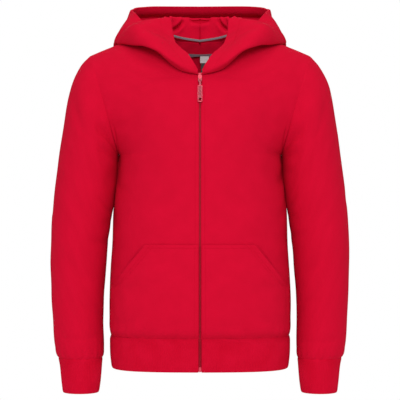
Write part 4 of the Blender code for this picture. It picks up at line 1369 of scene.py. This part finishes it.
# %% Rounded bars
def capsules(starts, ends, radius, sides=6, bands=2):
    """Rounded bars between two lists of points, worked out together. Rings of points round each bar's axis
    make a half sphere at both ends and a straight run between, and four-sided faces close the end rings."""
    starts, ends = np.asarray(starts, float), np.asarray(ends, float)
    axis = unit(ends - starts)
    helper = np.where(np.abs(axis[:, 2:]) < 0.9, (0.0, 0.0, 1.0), (1.0, 0.0, 0.0))
    side = unit(np.cross(axis, helper))
    other = np.cross(axis, side)
    latitude = np.linspace(0.2, math.pi / 2, bands + 1)
    along = np.concatenate([-np.cos(latitude), np.cos(latitude[::-1])]) * radius
    width = np.concatenate([np.sin(latitude), np.sin(latitude[::-1])]) * radius
    rings, count = len(along), len(starts)
    far = (np.arange(rings) > bands)[None, :, None]
    middle = np.where(far, ends[:, None], starts[:, None]) + along[:, None] * axis[:, None]
    turn = np.linspace(0, 2 * math.pi, sides, endpoint=False)[:, None]
    spoke = np.cos(turn) * side[:, None] + np.sin(turn) * other[:, None]
    points = middle[:, :, None] + width[:, None, None] * spoke[:, None]
    a = np.arange(rings - 1)[:, None] * sides + np.arange(sides)
    b = np.arange(rings - 1)[:, None] * sides + (np.arange(sides) + 1) % sides
    round_it = np.stack([a, b, b + sides, a + sides], axis=-1).reshape(-1, 4)
    k = np.arange(1, sides - 1, 2)
    cap = np.stack([0 * k, k, k + 1, k + 2], axis=-1)
    one = np.concatenate([round_it, cap[:, ::-1], cap + (rings - 1) * sides])
    faces = np.arange(count)[:, None, None] * rings * sides + one
    return points.reshape(-1, 3), faces.reshape(-1, 4)


def joined(parts):
    """Several (points, faces) pairs as one."""
    first = np.cumsum([0] + [len(points) for points, _ in parts])
    faces = [faces + start for start, (_, faces) in zip(first, parts)]
    return np.concatenate([points for points, _ in parts]), np.concatenate(faces)


print("a bar has", len(capsules([(0, 0, 0)], [(1, 0, 0)], 0.2)[1]), "faces")


# %% The zip's tapes and coils
def front_edge(z, behind):
    """How far forward the front's edge lies at each height, then set back by behind."""
    return through(CENTRE_LINE, z)[..., 0] + behind


z = np.linspace(ZIP_TOP_Z + 2.5, HEM_Z + 1, round(470 / STEP))[:, None]
parting = ZIP_TAPE_START + np.where(z > HINGE_Z - CHAIN_PARTING, 1.1, 0.0)
x = parting + np.linspace(0, 1, 10) * (ZIP_TAPE_REACH - parting)
y = front_edge(z, ZIP_SET_BACK) + 0.5 * (x / ZIP_TAPE_WIDTH) ** 2
grid = np.stack([x, y, z + 0 * x], axis=-1)
for side in ("left", "right"):
    sewn_piece(f"zip_tape_{side}_woven", "zip_tape", side, grid + (0, TAPE, 0), grid, ZIP_TAPE)

row = np.arange(HEM_Z + 4, HINGE_Z - 5, TOOTH_PITCH)
coil = []
for way, shift in ((1, 0), (-1, TOOTH_PITCH / 2)):
    z = row + shift
    y = front_edge(z, CHAIN_BEHIND)
    inner = np.stack([0 * z - way * TOOTH_OVERLAP, y, z], axis=-1)
    outer = np.stack([0 * z + way * TOOTH_REACH, y + TOOTH_BACK, z + TOOTH_RISE], axis=-1)
    coil.append(capsules(inner, outer, TOOTH_RADIUS, sides=8))
points, faces = joined(coil)
teeth = mesh_object("zip_coil_teeth", points * MM, faces, NYLON)
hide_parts("zip_chain")
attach(teeth, "garment")
# The tab takes the lacquer darkened with painted shade; the other metal parts take the paler, painted-lit
# lacquer.
for node in ("zip_slider", "zip_pull", "zip_box", "zip_stop_left", "zip_stop_right"):
    metal = bpy.data.objects[node]
    metal.data.materials.clear()
    metal.data.materials.append(SHADED_RECESS_ZINC if node == "zip_pull" else LACQUERED_ZINC_PAINTED_LIT)
print(len(row) * 2, "coil turns")

# %% [markdown]
# ## The pull tab's rim and grip
#
# The zip's pull is one small casting. A rim stands round its flat tab, and low bars cross the middle to give
# a thumb some hold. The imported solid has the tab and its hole; the rim and the bars are thin surfaces laid on
# its front. They are worked out hanging from the hinge at the origin, then leaned and moved to where the tab
# rests.

# %% The pull tab's rim and grip
TAB_WIDTH = 7.6
TAB_TOP = -10.6
TAB_END = -37.1
TAB_FACE = -0.9
TAB_CORNER = 1.4
RIM_WIDTH = 1.15
RIM_HEIGHT = 0.4
GRIP_TOP = -13.2
GRIP_END = -29.0
GRIP_PITCH = 1.5
SLIDER_FOOT = -3.4
PLATE_OUT = 2.7
HINGE_CLEAR = 1.35
PULL_REST_GAP = 1.2
BAR_RADIUS = 0.3
BAR_FROM_RIM = 0.9


def rounded(inset, count=6):
    """The tab's outline moved in by inset: an arc in each corner, seen from the front, as x and z."""
    radius = TAB_CORNER - inset
    across = TAB_WIDTH / 2 - TAB_CORNER
    top, end = TAB_TOP - TAB_CORNER, TAB_END + TAB_CORNER
    arcs = []
    for quarter, (x, z) in enumerate([(across, top), (-across, top), (-across, end), (across, end)]):
        turn = math.pi / 2 * (quarter + np.linspace(0, 1, count))
        arcs.append(np.stack([x + radius * np.cos(turn), z + radius * np.sin(turn)], axis=-1))
    return np.concatenate(arcs)


def hung(points):
    """Points drawn on the hanging tab, leaned back on the hinge to where the tab lies just off the chest."""
    hinge_y = float(front_edge(HINGE_Z + SLIDER_FOOT, 0)) - PLATE_OUT - HINGE_CLEAR
    rest_y = float(front_edge(HINGE_Z + TAB_END, 0)) - PULL_REST_GAP + TAB_FACE
    lean = math.atan2(rest_y - hinge_y, -TAB_END)
    x, y, z = np.moveaxis(points, -1, 0)
    y, z = y * math.cos(lean) - z * math.sin(lean), y * math.sin(lean) + z * math.cos(lean)
    return np.stack([x, y + hinge_y, z + HINGE_Z], axis=-1)


across_rim = np.linspace(0, 1, 7)
height = RIM_HEIGHT * np.sin(math.pi * across_rim) ** 0.5
outline = np.stack([rounded(0.1 + RIM_WIDTH * t) for t in across_rim])
front = np.insert(outline, 1, (TAB_FACE - height)[:, None], axis=2)
back = np.insert(outline, 1, TAB_FACE + 0.05, axis=2)
rim = wall("pull_tab_rim", hung(front), hung(back), LACQUERED_ZINC_PAINTED_LIT, ring=True)
bars = np.arange(GRIP_TOP, GRIP_END, -GRIP_PITCH)
half_bar = TAB_WIDTH / 2 - RIM_WIDTH - BAR_FROM_RIM
ends = [hung(np.stack([0 * bars + x, 0 * bars + TAB_FACE, bars], axis=-1)) for x in (-half_bar, half_bar)]
points, faces = capsules(*ends, BAR_RADIUS, sides=8)
# The grip bars carry the recess's painted shade.
grip = mesh_object("pull_tab_grip", points * MM, faces, SHADED_RECESS_ZINC)
for detail in (rim, grip):
    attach(detail, "zip_pull")
print(len(bars), "grip bars on the tab")

# %% [markdown]
# ## Topstitching
#
# Seams that carry weight are stitched again from outside: here beside the zip, round the pocket's mouth and
# top, and along the hood's hem. Each stitch is a short bar of thread lying in the channel it has pulled into
# the cloth. A drawn line would be flat when seen from the side, and a bar is not. The places come from the
# panels themselves: on each row or column, a stitch line lies where the distance to the edge reaches a set
# number of millimetres.


# %% Topstitching
STITCH_PITCH = 3.4
STITCH_LENGTH = 2.4
THREAD_RADIUS = 0.22
THREAD_SITS = 0.02


def level_line(surface, measure, at):
    """Where a measure reaches a value on each column of a grid, found between the rows next to it."""
    beyond = measure >= at
    row = np.argmax(beyond[1:] != beyond[:-1], axis=0)
    column = np.arange(surface.shape[1])
    first, last = measure[row, column], measure[row + 1, column]
    t = np.clip((at - first) / (last - first), 0, 1)[:, None]
    return surface[row, column] * (1 - t) + surface[row + 1, column] * t


def stitches(path):
    """Capsules of thread at an even pitch along a path of points."""
    length = np.concatenate([[0], np.cumsum(np.linalg.norm(np.diff(path, axis=0), axis=1))])
    begin = np.arange(1.0, length[-1] - STITCH_LENGTH, STITCH_PITCH)
    ends = [
        np.stack([np.interp(at, length, path[:, axis]) for axis in range(3)], axis=-1)
        for at in (begin, begin + STITCH_LENGTH)
    ]
    return capsules(*ends, THREAD_RADIUS, bands=1)


def threads(name, paths):
    """One object of stitches along several paths."""
    points, faces = joined([stitches(path) for path in paths])
    made = mesh_object(name, points * MM, faces, THREAD)
    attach(made, "garment")
    print(name, len(faces), "faces")


def sewn_line(side, panel, measure, at, along_columns=False):
    """A stitch line where a measure over a panel's grid reaches a value, just proud of the panel's cloth."""
    outer, out = panel
    surface = outer + THREAD_SITS * out
    if not along_columns:
        surface = surface.transpose(1, 0, 2)
        measure = measure.T
    path = level_line(surface, measure, at)
    return mirrored(path) if side == "right" else path


zip_paths = []
pocket_paths = []
hood_paths = []
for side in ("left", "right"):
    path = sewn_line(side, FRONTS[side], lengths(FRONTS[side][0])[0], EDGE_STITCH)
    zip_paths.append(path[path[:, 2] > POCKET_TOP_Z + 3])
    outer, out, from_mouth, from_top = POCKETS[side]
    for at in (MOUTH_HEM, MOUTH_HEM - MOUTH_ROWS_APART):
        pocket_paths.append(sewn_line(side, (outer, out), from_mouth, at))
    pocket_paths.append(sewn_line(side, (outer, out), lengths(outer)[0], EDGE_STITCH))
    pocket_paths.append(sewn_line(side, (outer, out), from_top, TOP_HEM, along_columns=True))
    shell = [part[: len(hood_down)] for part in HOODS[side]]
    hood_paths.append(sewn_line(side, shell, -from_rim, -HEM_OF_HOOD, along_columns=True)[2:])
threads("zip_edge_stitches", zip_paths)
threads("pocket_stitches", pocket_paths)
threads("hood_hem_stitches", hood_paths)
